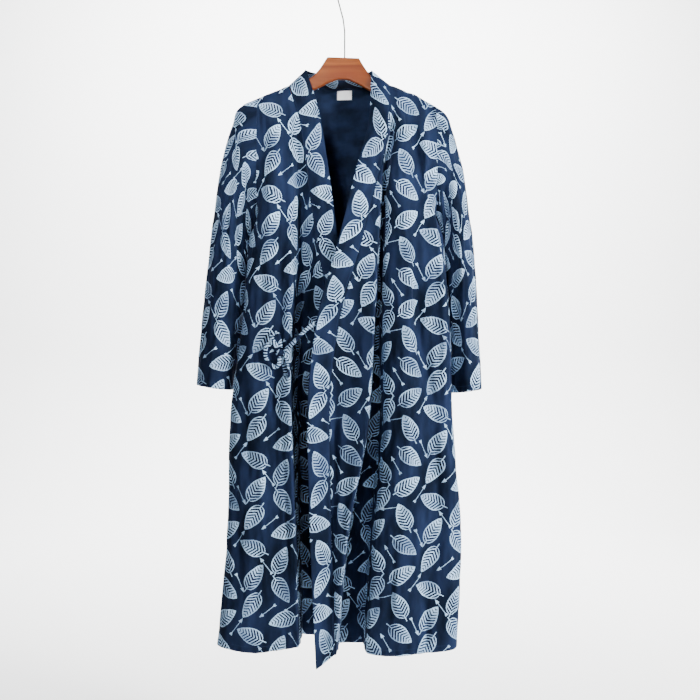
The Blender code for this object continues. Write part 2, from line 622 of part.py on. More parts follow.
def make_bow():
    centre, _facing = on_under_front(*KNOT)
    work = bmesh.new()
    bmesh.ops.create_uvsphere(work, u_segments=14, v_segments=9, radius=1.0)
    for vert in work.verts:
        vert.co = [c + r * p for c, r, p in zip(centre, KNOT_RADII, vert.co)]
    mesh = bpy.data.meshes.new("tie_knot")
    work.to_mesh(mesh)
    work.free()
    mesh.shade_smooth()
    new_object("tie_knot", mesh, NAVY, 0.9)
    for name, route in BOW_ROUTES.items():
        placed = [on_under_front(*point) for point in route]
        ribbon(name, [point for point, _facing in placed], placed[len(placed) // 2][1])
    ribbon("tie_strap", STRAP_ROUTE, (0, -1, 0))


def make_label():
    """The label lies on the inside of the back's wall, just under the neck seam."""
    lift = (CLOTH + LABEL_THICK) / 2 + SEAM_GAP
    both = np.concatenate(panel("back", back_places), axis=2)
    values = range(both.shape[2])
    points, normals = [], []
    for z in np.linspace(LABEL_TOP_Z, LABEL_TOP_Z - LABEL_HEIGHT, LABEL_ROWS):
        level = np.array([
            [np.interp(-z, -column[:, 2], column[:, i]) for i in values] for column in both.swapaxes(0, 1)
        ])
        for x in np.linspace(LABEL_X - LABEL_WIDTH / 2, LABEL_X + LABEL_WIDTH / 2, LABEL_COLUMNS):
            found = np.array([np.interp(x, level[:, 0], level[:, i]) for i in values])
            inward = -found[3:] / np.linalg.norm(found[3:])
            points.append(found[:3] + inward * lift)
            normals.append(inward)
    shape = (LABEL_ROWS, LABEL_COLUMNS, 3)
    wall("neck_label", np.reshape(points, shape), np.reshape(normals, shape), LABEL_THICK, LABEL_WHITE)


def make_wood():
    """The hanger's wooden body: its outline from the table, mirrored, tilted, and rounded along its edges."""
    outline = [(-p.reach, p.top) for p in reversed(WOOD_PROFILE)]
    outline += [(p.reach, p.top) for p in WOOD_PROFILE[1:]]
    outline += [(p.reach, p.under) for p in reversed(WOOD_PROFILE)]
    outline += [(-p.reach, p.under) for p in WOOD_PROFILE[1:]]
    work = bmesh.new()
    verts = [
        work.verts.new((WOOD_MIDDLE_X + reach, -WOOD_THICK / 2, z - WOOD_TILT * reach))
        for reach, z in outline
    ]
    face = work.faces.new(verts)
    grown = bmesh.ops.extrude_face_region(work, geom=[face])
    moved = [item for item in grown["geom"] if isinstance(item, bmesh.types.BMVert)]
    bmesh.ops.translate(work, vec=(0, WOOD_THICK, 0), verts=moved)
    bmesh.ops.recalc_face_normals(work, faces=work.faces)
    mesh = bpy.data.meshes.new("hanger_wood")
    work.to_mesh(mesh)
    work.free()
    wood = new_object("hanger_wood", mesh, WOOD_BROWN, 0.45)
    rounding = wood.modifiers.new("rounded edges", "BEVEL")
    rounding.width = WOOD_EDGE
    rounding.segments = 3
    rounding.limit_method = "ANGLE"
    rounding.angle_limit = math.radians(60)
    hole = wood.modifiers.new("hole for the hook", "BOOLEAN")
    hole.operation = "DIFFERENCE"
    hole.object = hook_hole()
    mesh.shade_smooth()
    mesh.set_sharp_from_angle(angle=math.radians(40))


def hook_hole():
    """The cutter for the hook's hole in the top of the wood."""
    deep = 0.030
    radius = WIRE_RADIUS + SEAM_GAP
    work = bmesh.new()
    bmesh.ops.create_cone(work, cap_ends=True, segments=12, radius1=radius, radius2=radius, depth=deep)
    mesh = bpy.data.meshes.new("hook hole")
    work.to_mesh(mesh)
    work.free()
    cutter = bpy.data.objects.new("hook hole", mesh)
    cutter.location = (STEM_X, 0, STEM_FOOT_Z - SEAM_GAP + deep / 2)
    cutter.hide_render = True
    cutter.display_type = "WIRE"
    bpy.context.collection.objects.link(cutter)
    return cutter


def make_hook():
    """The wire: straight up from the wood, leaning left, then round the hook over the rail."""
    centre_z = WIRE_RADIUS - HOOK_RADIUS
    reach = math.hypot(STEM_X, STEM_TOP_Z - centre_z)
    towards_stem = math.atan2(STEM_TOP_Z - centre_z, STEM_X)
    start = 2 * math.pi + towards_stem - math.acos(HOOK_RADIUS / reach)
    arc = [
        (HOOK_RADIUS * math.cos(angle), centre_z + HOOK_RADIUS * math.sin(angle))
        for angle in np.linspace(start, math.radians(HOOK_END_DEG), 19)
    ]
    leaning = [
        (STEM_X + (arc[0][0] - STEM_X) * share, STEM_TOP_Z + (arc[0][1] - STEM_TOP_Z) * share)
        for share in (0.15, 0.4, 0.7)
    ]
    route = [(STEM_X, STEM_FOOT_Z), (STEM_X, (STEM_FOOT_Z + LEAN_Z) / 2), (STEM_X, LEAN_Z)] + leaning + arc
    curve = bpy.data.curves.new("hanger_hook", "CURVE")
    curve.dimensions = "3D"
    curve.bevel_depth = WIRE_RADIUS
    curve.bevel_resolution = 2
    curve.use_fill_caps = True
    line = curve.splines.new("POLY")
    line.points.add(len(route) - 1)
    for point, (x, z) in zip(line.points, route):
        point.co = (x, 0, z, 1)
    new_object("hanger_hook", curve, WIRE_GREY, 0.35, 1.0)


def main():
    for obj in list(bpy.data.objects):
        bpy.data.objects.remove(obj, do_unlink=True)
    make_body()
    make_neckband()
    make_sleeve(LEFT)
    make_sleeve(RIGHT)
    make_label()
    make_bow()
    make_hook()
    make_wood()


main()
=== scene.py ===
"""The looks of a wrap-front cotton robe hung on a wooden hanger.

Metres, +Z up. +X is the viewer's right, and the robe's front faces -Y. Each cloth piece is a thin shell along
the same sheet as its solid: the tables of folds and sections below are the solids' own, sampled finely here,
and the smaller creases are laid on them along the way the cloth faces. The print, the weave and the stitches
are materials that follow the cloth's own directions, held in the point attribute "cloth".
"""

import math
from collections import namedtuple

import bpy
import numpy as np
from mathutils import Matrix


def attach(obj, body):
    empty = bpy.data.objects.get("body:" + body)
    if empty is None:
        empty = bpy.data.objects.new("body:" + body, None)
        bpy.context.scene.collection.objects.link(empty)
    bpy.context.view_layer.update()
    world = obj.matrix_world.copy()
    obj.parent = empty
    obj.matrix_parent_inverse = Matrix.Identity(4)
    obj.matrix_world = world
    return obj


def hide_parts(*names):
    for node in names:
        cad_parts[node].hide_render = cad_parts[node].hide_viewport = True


CLOTH = 0.0011  # one layer of cloth
HEM_FOLD = 0.0007  # what the folded hem adds to it
HEM_WIDTH = 0.014
STITCH_INSET = 0.012  # the line of stitches, in from a hem or a cuff
BAND_THICK = 0.0024
BAND_WIDTH = 0.048
BAND_STITCH = 0.0025  # the line of stitches on the band, in from its seam
SEAM_GAP = 0.0003
BAND_SEAM_GAP = 0.0005
SOLID_CLOTH = 0.0014  # the wall of the solid panels, which the armholes stand clear of

# Heights and rows of the robe
UNDERARM_Z = -0.500
YOKE_Z, CHEST_Z, CROSS_Z, WAIST_Z, HIP_Z, KNEE_Z = -0.285, -0.420, -0.546, -0.728, -0.900, -1.150
HEM_Z = -1.368
ROWS_ABOVE, ROWS_BELOW = 90, 190
CORNER_START, UNDERARM_CORNER = 0.7, 0.9
ROLL_DEPTH = 0.0095
ROLL_DROP = 0.010
SPREAD_DROP = 0.080

ARMHOLE_DEPTH = 0.036
LEFT, RIGHT = -1, 1
FRONT, BACK = -1, 1
ARMHOLE_X = {LEFT: -0.178, RIGHT: 0.185}
NECK_DEPTH, NECK_RISE = 0.068, 0.006
NECK_SIDE_RISE = 0.005  # how much the band stands up at each side of the neck
NECK_SECTIONS = 56
BAND_COLUMNS = 18
BAND_REACH = 3
PANEL_COLUMNS = {"under": 118, "over": 142, "back": 150}
SEAM_COLUMNS = {"under": 14, "over": 30}
SLEEVE_TURNS, SLEEVE_ROWS = 132, 150
SLEEVE_LENGTH = 0.58
SLEEVE_SEAM_TURN = 0.4994  # half a turn, less the gap at the underarm seam
TURNED_ROWS = np.array([0.0014, 0.0008, 0.0003, 0.0])  # the last rows' distances from a hem or a cuff

LABEL_WIDTH, LABEL_HEIGHT, LABEL_THICK = 0.031, 0.019, 0.0008
LABEL_X, LABEL_TOP_Z = -0.0015, -0.226
LABEL_STITCH = 0.0015  # its stitches, in from its ends
TIE_WIDTH, TIE_THICK = 0.008, 0.0015
TIE_CUT = 0.010  # the strip of cloth that shows, over its face and round its two folded edges
MM = 0.001


def table(kind, rows, unit=1.0):
    """Rows with named columns. unit is what 1 in the table stands for."""
    return [kind(*(number * unit for number in row)) for row in rows]


TopPoint = namedtuple("TopPoint", "x z")
TOP_LINE = {
    LEFT: table(TopPoint, unit=MM, rows=(
        (-221.4, -281), (-205, -266.5), (-184.5, -257.5), (-164, -248), (-133, -236), (-113, -227.5),
        (-98, -215.5), (-80, -195),
    )),
    RIGHT: table(TopPoint, unit=MM, rows=(
        (53, -197), (72, -212.5), (88, -225.5), (113, -238), (143.5, -246.5), (158, -256), (186.6, -272.5),
        (201, -283), (211, -297),
    )),
}
NECK_SEAM_Z = {"left neck": -0.2262, "middle": -0.2240, "right neck": -0.2255}

SideLine = namedtuple("SideLine", "cross waist hip knee hem")
SIDE_X = {
    LEFT: SideLine(-0.1975, -0.2065, -0.2285, -0.2385, -0.2575),
    RIGHT: SideLine(0.2035, 0.2090, 0.2120, 0.2335, 0.2265),
}

# One row for each fold. x: at the shoulder, yoke, chest, cross, waist, hip, knee and hem.
# y: at the yoke, chest, cross, waist, hip, knee and hem. drop: how far it hangs below the hem line.
# top_y: how far it stands back at its top, where it hangs from the neck.
Fold = namedtuple("Fold", "name x y drop top_y", defaults=(0.0, 0.0))


def folds(*rows):
    """Folds, from rows of their sizes in millimetres."""
    return [Fold(name, *(np.array(size) * MM for size in sizes)) for name, *sizes in rows]


UNDER_FOLDS = folds(
    ("side turn", (-171, -173, -161, -187, -208.5, -231.5, -239.5, -258.5),
     (-30, -44, -26, -22, -20, -18, -16), -2),
    ("side ridge", (-164, -166, -154, -176, -194, -215, -224, -242),
     (-34, -52, -43, -42, -42, -40, -38), -1),
    ("outer ridge", (-147, -147, -144.5, -148, -159, -173, -179, -185),
     (-38, -58, -56, -52, -50, -50, -46), 6),
    ("soft hollow", (-134, -128, -123.5, -124, -133, -141, -141, -141),
     (-34, -49, -46, -44, -44, -45, -44), 2),
    ("fold edge", (-124, -112, -109, -107.5, -113.5, -111.5, -100.5, -93.5),
     (-34, -45, -50, -52, -55, -55, -52), -8),
    ("deep valley", (-117, -98, -93.2, -86.5, -90, -90.5, -88, -88),
     (-26, -22, 0, 30, 34, 34, 32), -6),
    ("band ridge", (-98, -74, -58, -46, -30, -20, -10, -5),
     (-30, -46, -45, 12, 26, 35, 36), 0),
    ("band edge", (-80, -53, -31, -13.5, 28, 38, 43, 45),
     (-20, -47, -50, 5, 24, 34, 36), 0),
)
OVER_FOLDS = folds(
    ("band edge", (53, 50.4, 18.9, -11.8, -59, -74.8, -69, -57.1),
     (-18, -52, -60, -64, -64, -64, -64), 32),
    ("inside the edge", (66, 64, 40, 10, -37, -50, -47, -44),
     (-30, -53, -58, -58, -52, -52, -58), 24),
    ("soft trough", (80, 77, 56, 40, 0, -17, -26.5, -33),
     (-37, -47, -49, -45, -42, -45, -56), 16),
    ("left ridge", (92, 91, 72, 65, 55, 45, 2, -19),
     (-38, -51, -53, -56, -60, -60, -60), 4),
    ("valley's left", (96.5, 96.5, 78, 72.5, 62.5, 52, 9, -11),
     (-32, -25, -8, 1, 5, 8, 8), 4),
    ("valley's right", (100.5, 102, 84.5, 78, 69, 68, 46, 35),
     (-31, -23, -6, 4, 10, 12, 12), 5),
    ("right ridge", (105, 107, 90.5, 84, 80, 82.5, 61, 45),
     (-37, -48, -48, -48, -50, -50, -48), 6),
    ("main ridge", (120, 120, 117, 119, 124.7, 124.7, 109, 99),
     (-42, -60, -64, -66, -66, -62, -58), 8),
    ("long hollow", (140, 136, 146, 148, 152, 169.7, 175.7, 163.7),
     (-31, -44, -46, -44, -44, -44, -44), 6),
    ("side ridge", (160, 160, 160, 181, 196.5, 198, 211, 204),
     (-34, -52, -48, -46, -44, -42, -40), 4),
    ("side turn", (174, 175, 167, 193, 212.5, 216.5, 234.5, 227),
     (-30, -45, -28, -24, -22, -20, -18), 1),
)
BACK_FOLDS = folds(
    ("left ridge", (-163, -165, -160, -176, -186, -205, -212, -228),
     (34, 50, 46, 44, 44, 46, 48)),
    ("left hollow", (-140, -140, -130, -135, -140, -150, -155, -165),
     (32, 46, 50, 50, 52, 54, 56), 2),
    ("left neck corner", (-114.5, -112, -100, -98, -100, -105, -110, -118),
     (36, 54, 62, 64, 68, 72, 76), 4),
    ("left neck", (-85, -80, -62, -58, -58, -60, -64, -68),
     (42, 52, 56, 56, 56, 56, 56), 0, 26),
    ("middle", (-12, -12, -12, -12, -12, -12, -14, -16),
     (44, 56, 63, 66, 70, 74, 78), 3, 40),
    ("right neck", (61, 56, 38, 34, 34, 36, 40, 40),
     (42, 52, 56, 56, 57, 58, 58), 0, 26),
    ("right neck corner", (90.5, 88, 78, 78, 80, 84, 92, 92),
     (36, 53, 61, 64, 68, 72, 76), 4),
    ("right hollow", (130, 130, 128, 132, 136, 140, 148, 146),
     (31, 46, 50, 50, 52, 54, 54), 1),
    ("right ridge", (163, 165, 168, 184, 190, 194, 206, 199),
     (34, 50, 46, 44, 44, 46, 48)),
)
FOLDS = {"under": UNDER_FOLDS, "over": OVER_FOLDS, "back": BACK_FOLDS}
# The fold that the print is measured from on each sheet, and the deep valley where the columns close up
PRINT_FROM = {"under": 3, "over": 7, "back": 5}
VALLEY = {"under": 6, "over": 4}

Section = namedtuple("Section", "outer_x outer_z inner_x inner_z depth middle_y")
SLEEVE_SECTIONS = {
    LEFT: table(Section, unit=MM, rows=(
        (-178, -254.5, -178, -500, 36, 0), (-204.5, -266.5, -183.5, -504, 38, 0),
        (-221.4, -281, -189, -510, 40, 1), (-230, -308.5, -194, -520, 42, 3),
        (-244, -349, -199, -536, 44, 6), (-258.3, -410, -203, -562, 46, 9),
        (-266.5, -472, -205.5, -598, 48, 12), (-279, -564, -207.5, -654, 50, 14),
        (-289, -656, -211.5, -716, 51, 15), (-297.5, -748, -221, -784, 52, 15),
        (-305.5, -839.7, -233, -851, 52, 15),
    )),
    RIGHT: table(Section, unit=MM, rows=(
        (185, -271.5, 185, -500, 36, 0), (200, -282, 190, -504, 38, 0), (211, -297, 196, -510, 40, 1),
        (220, -324, 201, -520, 42, 3), (231, -360, 205, -536, 44, 6), (244, -412, 208.5, -563, 46, 9),
        (252, -474, 210.5, -600, 48, 12), (264.5, -566, 212, -656, 50, 14),
        (270.6, -658, 213.5, -718, 51, 15), (274.7, -750, 215.5, -786, 52, 15),
        (280.8, -848, 218, -857, 52, 15),
    )),
}

# Creases of a sleeve, depths in metres. turn: 0 at the outer line, 0.25 in front, 0.5 at the underarm, 0.75
# behind; it may drift, and width is a share of a turn. start and end run from the armhole, 0, to the cuff, 1.
# The first two of each sleeve are the solid's own.
SleeveCrease = namedtuple("SleeveCrease", "turn drift width depth start end")
SLEEVE_CREASES = {
    LEFT: table(SleeveCrease, rows=(
        (0.34, 0.0, 0.05, 0.012, 0.1, 0.85), (0.7, 0.0, 0.06, 0.008, 0.15, 0.9),
        (0.2, 0.05, 0.018, 0.0022, 0.3, 0.75), (0.27, -0.04, 0.012, -0.0016, 0.45, 0.95),
        (0.12, 0.02, 0.02, 0.0018, 0.12, 0.48), (0.41, 0.03, 0.014, 0.002, 0.35, 0.72),
        (0.6, 0.03, 0.02, 0.002, 0.1, 0.55), (0.8, -0.05, 0.022, 0.0024, 0.3, 0.86),
        (0.9, 0.02, 0.016, -0.0014, 0.4, 0.8),
    )),
    RIGHT: table(SleeveCrease, rows=(
        (0.33, 0.0, 0.05, 0.01, 0.15, 0.95), (0.72, 0.0, 0.06, 0.008, 0.1, 0.85),
        (0.17, 0.04, 0.017, 0.0024, 0.22, 0.66), (0.25, 0.03, 0.013, -0.0018, 0.4, 0.9),
        (0.42, -0.03, 0.014, 0.0018, 0.3, 0.7), (0.09, 0.02, 0.018, 0.0016, 0.5, 0.92),
        (0.62, 0.02, 0.018, 0.0022, 0.15, 0.6), (0.82, -0.04, 0.02, 0.0022, 0.35, 0.9),
        (0.92, 0.03, 0.016, -0.0015, 0.2, 0.62),
    )),
}

# The body's smaller creases, from one place to another in x and z, bowed to one side. A hollow has a depth
# below 0.
Crease = namedtuple("Crease", "x1 z1 x2 z2 bow width depth")
CREASES = {
    "under": table(Crease, unit=MM, rows=(
        (-141, -795, -150, -925, 2, 5, -3.2), (-165, -275, -152, -450, 4, 9, -3.4),
        (-150, -300, -143, -560, -3, 8, 2.4), (-128, -330, -119, -520, 3, 6, -2.6),
        (-171, -520, -167, -730, 5, 9, -2.6), (-185, -690, -192, -880, -4, 7, 1.8),
        (-178, -760, -140, -800, 6, 8, -2.2), (-205, -850, -198, -1060, 5, 8, -2.6),
        (-225, -1000, -214, -1350, 6, 11, -3.6), (-164, -900, -160, -1120, -4, 9, 2.4),
        (-173, -1080, -186, -1372, 4, 10, -3), (-126, -960, -118, -1300, 5, 7, -2.6),
        (-98, -300, -73, -480, 4, 6, -1.8), (-60, -330, -44, -500, -3, 6, 1.4),
    )),
    "over": table(Crease, unit=MM, rows=(
        (119, -275, 131, -365, 2, 8, -3.2), (133, -320, 171, -490, 4, 9.5, -4),
        (150, -420, 158, -620, -6, 8, 2.2), (136, -600, 149, -770, 3, 8.5, -3.6),
        (158, -745, 180, -900, -3, 9, -3.6), (169, -890, 190, -1160, 4, 11, -4),
        (184, -1120, 158, -1290, 3, 10, -3.4), (159, -1240, 161, -1385, 2, 7, -4.4),
        (128, -860, 136, -1040, 4, 8, -2.4), (144, -1000, 128, -1340, 6, 9, 2.6),
        (196, -580, 199, -880, -2, 6, 2.2), (98, -1100, 80, -1370, 4, 7, -2.6),
        (-26, -760, -20, -1060, 4, 8, -2.6), (-2, -880, -14, -1220, -3, 7, 2),
        (-36, -1060, -30, -1330, 3, 7, -2.2), (20, -620, 12, -860, 4, 8, -2.4),
        (-54, -728, 6, -668, 4, 6, -2), (-52, -742, 16, -730, -6, 15, 1.6),
        (40, -400, 32, -560, 3, 6, -1.6), (58, -290, 50, -430, -3, 7, 1.4),
    )),
    "back": table(Crease, unit=MM, rows=(
        (-150, -290, -136, -520, 4, 10, -3.6), (-120, -330, -112, -640, -5, 11, 3),
        (-80, -270, -60, -480, 4, 9, -3), (-30, -280, -38, -700, 6, 12, -3.4),
        (10, -300, 16, -610, -5, 11, 2.8), (60, -280, 48, -520, 4, 10, -3.2),
        (108, -300, 104, -560, 5, 9, -3.4), (146, -300, 156, -520, 3, 9, 2.6),
        (-166, -560, -174, -860, 5, 10, -3.2), (-120, -720, -130, -1120, 8, 11, -3.8),
        (-78, -640, -84, -1020, -6, 11, -3.2), (-40, -820, -46, -1300, 6, 12, 3),
        (4, -700, 8, -1140, -6, 11, -3.4), (56, -640, 60, -1040, 6, 10, -3.4),
        (106, -700, 112, -1100, 5, 11, -3.6), (160, -620, 166, -900, -4, 9, 2.8),
        (-196, -980, -206, -1340, 4, 9, -3.2), (-140, -1080, -146, -1368, -5, 9, 2.8),
        (-90, -1140, -96, -1368, 4, 9, -3.2), (20, -1100, 24, -1368, 4, 9, -3.4),
        (70, -1160, 74, -1368, -4, 8, 2.6), (122, -1080, 120, -1368, 5, 9, -3.4),
        (178, -1000, 172, -1340, 4, 9, -3),
    )),
}
# Slight unevenness of the hanging cloth, in metres: each row is a wave across and down, broken up by a longer
# one
Wave = namedtuple("Wave", "height across down start patch")
WAVES = table(Wave, rows=(
    (0.0008, 0.036, 0.33, 0.3, 0.21), (0.0007, 0.023, -0.24, 1.7, 0.15), (0.00055, 0.051, 0.14, 4.1, 0.27),
    (0.0004, 0.014, 0.18, 2.2, 0.12), (0.0003, 0.019, -0.06, 5.3, 0.09),
))
SIDE_FADE, TOP_FADE = 0.022, 0.045
RELIEF_SHARE = 1.5  # of the depths in the table of creases
UNDERARM_LEAN = 0.006  # the underarm line of a sleeve leans on the body's side
KNOT_CALM = 0.040  # the creases die out this near the knot

BowPoint = namedtuple("BowPoint", "x z lift")
KNOT = BowPoint(-0.1285, -0.7750, 0.0078)
KNOT_RADII = (0.0085, 0.0060, 0.0075)
KNOT_PRINT = (0.015, 0.055, 1.0)  # the knot's place in the print, far from any stitches
BOW_ROUTES = {
    "tie_loop_side": table(BowPoint, unit=MM, rows=(
        (-138.5, -765, 5), (-148, -756, 6), (-156, -760, 7), (-157.5, -776, 8), (-150, -793, 9),
        (-138, -802, 10), (-130, -796, 10.5), (-128.5, -782.5, 10.5),
    )),
    "tie_loop_top": table(BowPoint, unit=MM, rows=(
        (-132, -766, 9), (-141, -752, 13), (-145, -740, 13), (-137, -734, 12), (-130, -743, 11),
        (-127.5, -765, 9.5),
    )),
    "tie_tail_left": table(BowPoint, unit=MM, rows=(
        (-126, -783.5, 4), (-122, -798, 3.6), (-119, -812, 3), (-118, -826, 2.6),
    )),
    "tie_tail_right": table(BowPoint, unit=MM, rows=(
        (-119.5, -778.5, 6), (-114, -795, 5), (-111, -811, 4), (-109, -828, 3.6),
    )),
}
STRAP_ROUTE = (
    (-0.1201, -0.0568, -0.7715), (-0.1080, -0.0620, -0.7600), (-0.0930, -0.0640, -0.7450),
    (-0.0780, -0.0635, -0.7300), (-0.0660, -0.0618, -0.7205), (-0.0560, -0.0605, -0.7150),
)

# The print: one block of leaves and arrows, repeated. Places in the block, turns in degrees from upright.
BLOCK_WIDTH, BLOCK_HEIGHT = 0.232, 0.176
LEAF_LENGTH, ARROW_LENGTH = 0.0575, 0.041
Motif = namedtuple("Motif", "x y turn")
LEAVES = table(Motif, rows=(
    (0.002, 0.004, 34), (-0.002, 0.062, -42), (0.004, 0.119, 152), (0.061, 0.03, -126), (0.055, 0.089, 28),
    (0.059, 0.15, -58), (0.114, 0.0, 146), (0.12, 0.058, -34), (0.113, 0.117, 66), (0.176, 0.031, 214),
    (0.172, 0.091, -22), (0.178, 0.148, 108),
))
ARROWS = table(Motif, rows=(
    (0.031, 0.015, 32), (0.025, 0.105, 100), (0.089, 0.044, 207), (0.086, 0.134, -36), (0.142, 0.08, 38),
    (0.147, 0.165, 128), (0.2, 0.003, -52), (0.206, 0.106, 215),
))
# How far the block is shifted on each piece, so that no two pieces match
PRINT_SHIFT = {
    "back": (0.031, 0.012), "under": (0.118, 0.047), "over": (0.052, 0.131), "band": (0.149, 0.020),
    "sleeve_left": (0.087, 0.096), "sleeve_right": (0.012, 0.060), "tie": (0.177, 0.141),
}

# The navy ground. The patches between it and the paler navy are partly uneven dye and partly painted light
# and shade that stand in for soft folds.
GROUND = (0.0040, 0.0078, 0.0190)
GROUND_PALER_DYE_AND_PAINTED_LIGHT = (0.0120, 0.0205, 0.0540)
INSIDE = (0.0095, 0.0165, 0.0420)
INK = (0.48, 0.72, 1.0)
INK_WORN = (0.20, 0.31, 0.49)
THREAD = (0.012, 0.020, 0.050)

# The camera's place and the width that it sees where the robe hangs
CAMERA = (0.010, -1.700, -0.769)
VIEW_WIDTH = 1.435
SENSOR = 36.0

FLOOR_Z = -1.75


def cubic(start, end, leaving, arriving, s):
    """From start to end at shares s of the way, with these slopes at the two."""
    return (
        start * (1 + 2 * s) * (1 - s) ** 2 + end * s**2 * (3 - 2 * s)
        + leaving * s * (1 - s) ** 2 - arriving * s**2 * (1 - s)
    )


def knot_slopes(slopes, axis=0):
    """Slopes at the knots, from those between them: 0 where a curve turns, so that it never swings past."""
    before, after = np.delete(slopes, -1, axis), np.delete(slopes, 0, axis)
    product = before * after
    same_way = product > 0
    middle = np.where(same_way, 2 * product / np.where(same_way, before + after, 1), 0)
    return np.concatenate([np.take(slopes, [0], axis), middle, np.take(slopes, [-1], axis)], axis)


def smooth_through(knots, values, at):
    """Values at the places `at`, on a monotone cubic through the knots: a ridge stays where its row says."""
    knots, values, at = (np.asarray(a, float) for a in (knots, values, at))
    steps = np.diff(knots)
    slopes = knot_slopes(np.diff(values) / steps)
    at = np.clip(at, knots[0], knots[-1])
    i = np.clip(np.searchsorted(knots, at) - 1, 0, len(knots) - 2)
    leaving, arriving = steps[i] * slopes[i], steps[i] * slopes[i + 1]
    return cubic(values[i], values[i + 1], leaving, arriving, (at - knots[i]) / steps[i])


def ease(share):
    share = np.clip(share, 0.0, 1.0)
    return share * share * (3 - 2 * share)


def top_z(x):
    line = TOP_LINE[LEFT if x < 0 else RIGHT]
    return float(smooth_through([p.x for p in line], [p.z for p in line], x))


def height(top, bottom, v):
    """Heights at rows v of the body: 0 is the top edge, 1 the underarm, 2 the hem."""
    above = top + (UNDERARM_Z - top) * (1 - np.cos(np.pi * np.minimum(v, 1))) / 2
    return np.where(v <= 1, above, UNDERARM_Z + (bottom - UNDERARM_Z) * (v - 1))


def rolled(drop):
    """How far the cloth stands off the middle of the hanger, this far below its top."""
    return ROLL_DEPTH * np.sqrt(1 - (1 - np.minimum(drop / ROLL_DROP, 1.0)) ** 2)


def fold_line(fold, v, facing):
    """The points of one fold at rows v."""
    over_neck = fold.top_y > 0
    top = NECK_SEAM_Z[fold.name] if over_neck else top_z(fold.x[0])
    z = height(top, HEM_Z - fold.drop, v)
    levels = [-top, -YOKE_Z, -CHEST_Z, -CROSS_Z, -WAIST_Z, -HIP_Z, -KNEE_Z, -(HEM_Z - fold.drop)]
    x = smooth_through(levels, fold.x, -z)
    spread_y = smooth_through(levels[1:], fold.y, -z)
    on_hanger = rolled(top - z) * (1 - min(fold.top_y / ROLL_DEPTH, 1.0))
    near_y = facing * (SEAM_GAP / 2 + fold.top_y + on_hanger)
    return np.column_stack([x, near_y + (spread_y - near_y) * ease((top - z) / SPREAD_DROP), z])


def side_line(side, v, facing):
    """The body's edge at one side: round the armhole down to the underarm, then down the side seam."""
    turned = ease((v - CORNER_START) / (UNDERARM_CORNER - CORNER_START))
    armhole_x = ARMHOLE_X[side] - side * (SOLID_CLOTH / 2 + SEAM_GAP) * turned
    z = height(top_z(ARMHOLE_X[side]), HEM_Z, v)
    levels = [-UNDERARM_Z, -CROSS_Z, -WAIST_Z, -HIP_Z, -KNEE_Z, -HEM_Z]
    seam_x = smooth_through(levels, (armhole_x[-1], *SIDE_X[side]), -z)
    armhole_y = SEAM_GAP / 2 + ARMHOLE_DEPTH * np.sin(np.pi * np.minimum(v, 1))
    x = np.where(v <= 1, armhole_x, seam_x)
    return np.column_stack([x, facing * np.where(v <= 1, armhole_y, SEAM_GAP / 2), z])


def stations(sheet, v):
    """The lines of folds and sides of a sheet at rows v."""
    facing = BACK if sheet == "back" else FRONT
    lines = [fold_line(fold, v, facing) for fold in FOLDS[sheet]]
    if sheet != "over":
        lines.insert(0, side_line(LEFT, v, facing))
    if sheet != "under":
        lines.append(side_line(RIGHT, v, facing))
    return np.stack(lines, axis=1)


def across(lines, places):
    """Points between the lines. Each row has its own places: 0 is the first line, 1 the next, and so on."""
    slopes = knot_slopes(np.diff(lines, axis=1), 1)
    i = np.clip(places.astype(int), 0, lines.shape[1] - 2)
    row = np.arange(len(lines))[:, None]
    share = (places - i)[..., None]
    return cubic(lines[row, i], lines[row, i + 1], slopes[row, i], slopes[row, i + 1], share)


def run_along(points, axis):
    """Length of the path so far, along one axis of a grid of points."""
    steps = np.linalg.norm(np.diff(points, axis=axis), axis=-1)
    start = np.zeros_like(np.take(steps, [0], axis=axis))
    return np.concatenate([start, np.cumsum(steps, axis=axis)], axis=axis)


def unit(vectors):
    return vectors / np.maximum(np.linalg.norm(vectors, axis=-1), 1e-12)[..., None]


def faces_out(points, outward):
    """Directions square to a grid of points, turned to the side that outward points to."""
    normals = unit(np.cross(np.gradient(points, axis=0), np.gradient(points, axis=1)))
    return normals * np.sign((normals * outward).sum())


def rounded(distance, half):
    """Share of a wall's thickness at this distance from an edge that is folded or turned."""
    reach = np.clip(distance / half, 0.0, 1.0)
    return np.maximum(np.sqrt(1 - (1 - reach) ** 2), 0.12)


def body_rows():
    """Rows from the top edge to the hem, closer together where the hem is turned."""
    near_hem = 2 - TURNED_ROWS / (UNDERARM_Z - HEM_Z)
    below = np.linspace(1, 2, ROWS_BELOW)[1:-1]
    return np.concatenate([np.linspace(0, 1, ROWS_ABOVE), below, near_hem])


def run_across(lines, places):
    """For each row, the length of cloth from the first of these places to each."""
    return run_along(across(lines, np.tile(places, (len(lines), 1))), 1)


def even_places(lines, first, last, count):
    """Places from first to last, spaced so that the columns lie about evenly along the cloth."""
    dense = np.linspace(first, last, 600)
    run = run_across(lines, dense).mean(axis=0)
    return np.interp(np.linspace(0, run[-1], count), run, dense)


def seam_places(sheet, lines):
    """For each row, the places of the band's seam: where the neckband starts and where the panel ends."""
    edge, inner = (0, BAND_REACH) if sheet == "over" else (len(UNDER_FOLDS), len(UNDER_FOLDS) - BAND_REACH)
    places = np.linspace(edge, inner, 400)
    seams = (BAND_WIDTH, BAND_WIDTH + BAND_SEAM_GAP)
    found = [np.interp(seams, row, places) for row in run_across(lines, places)]
    return np.array(found).T


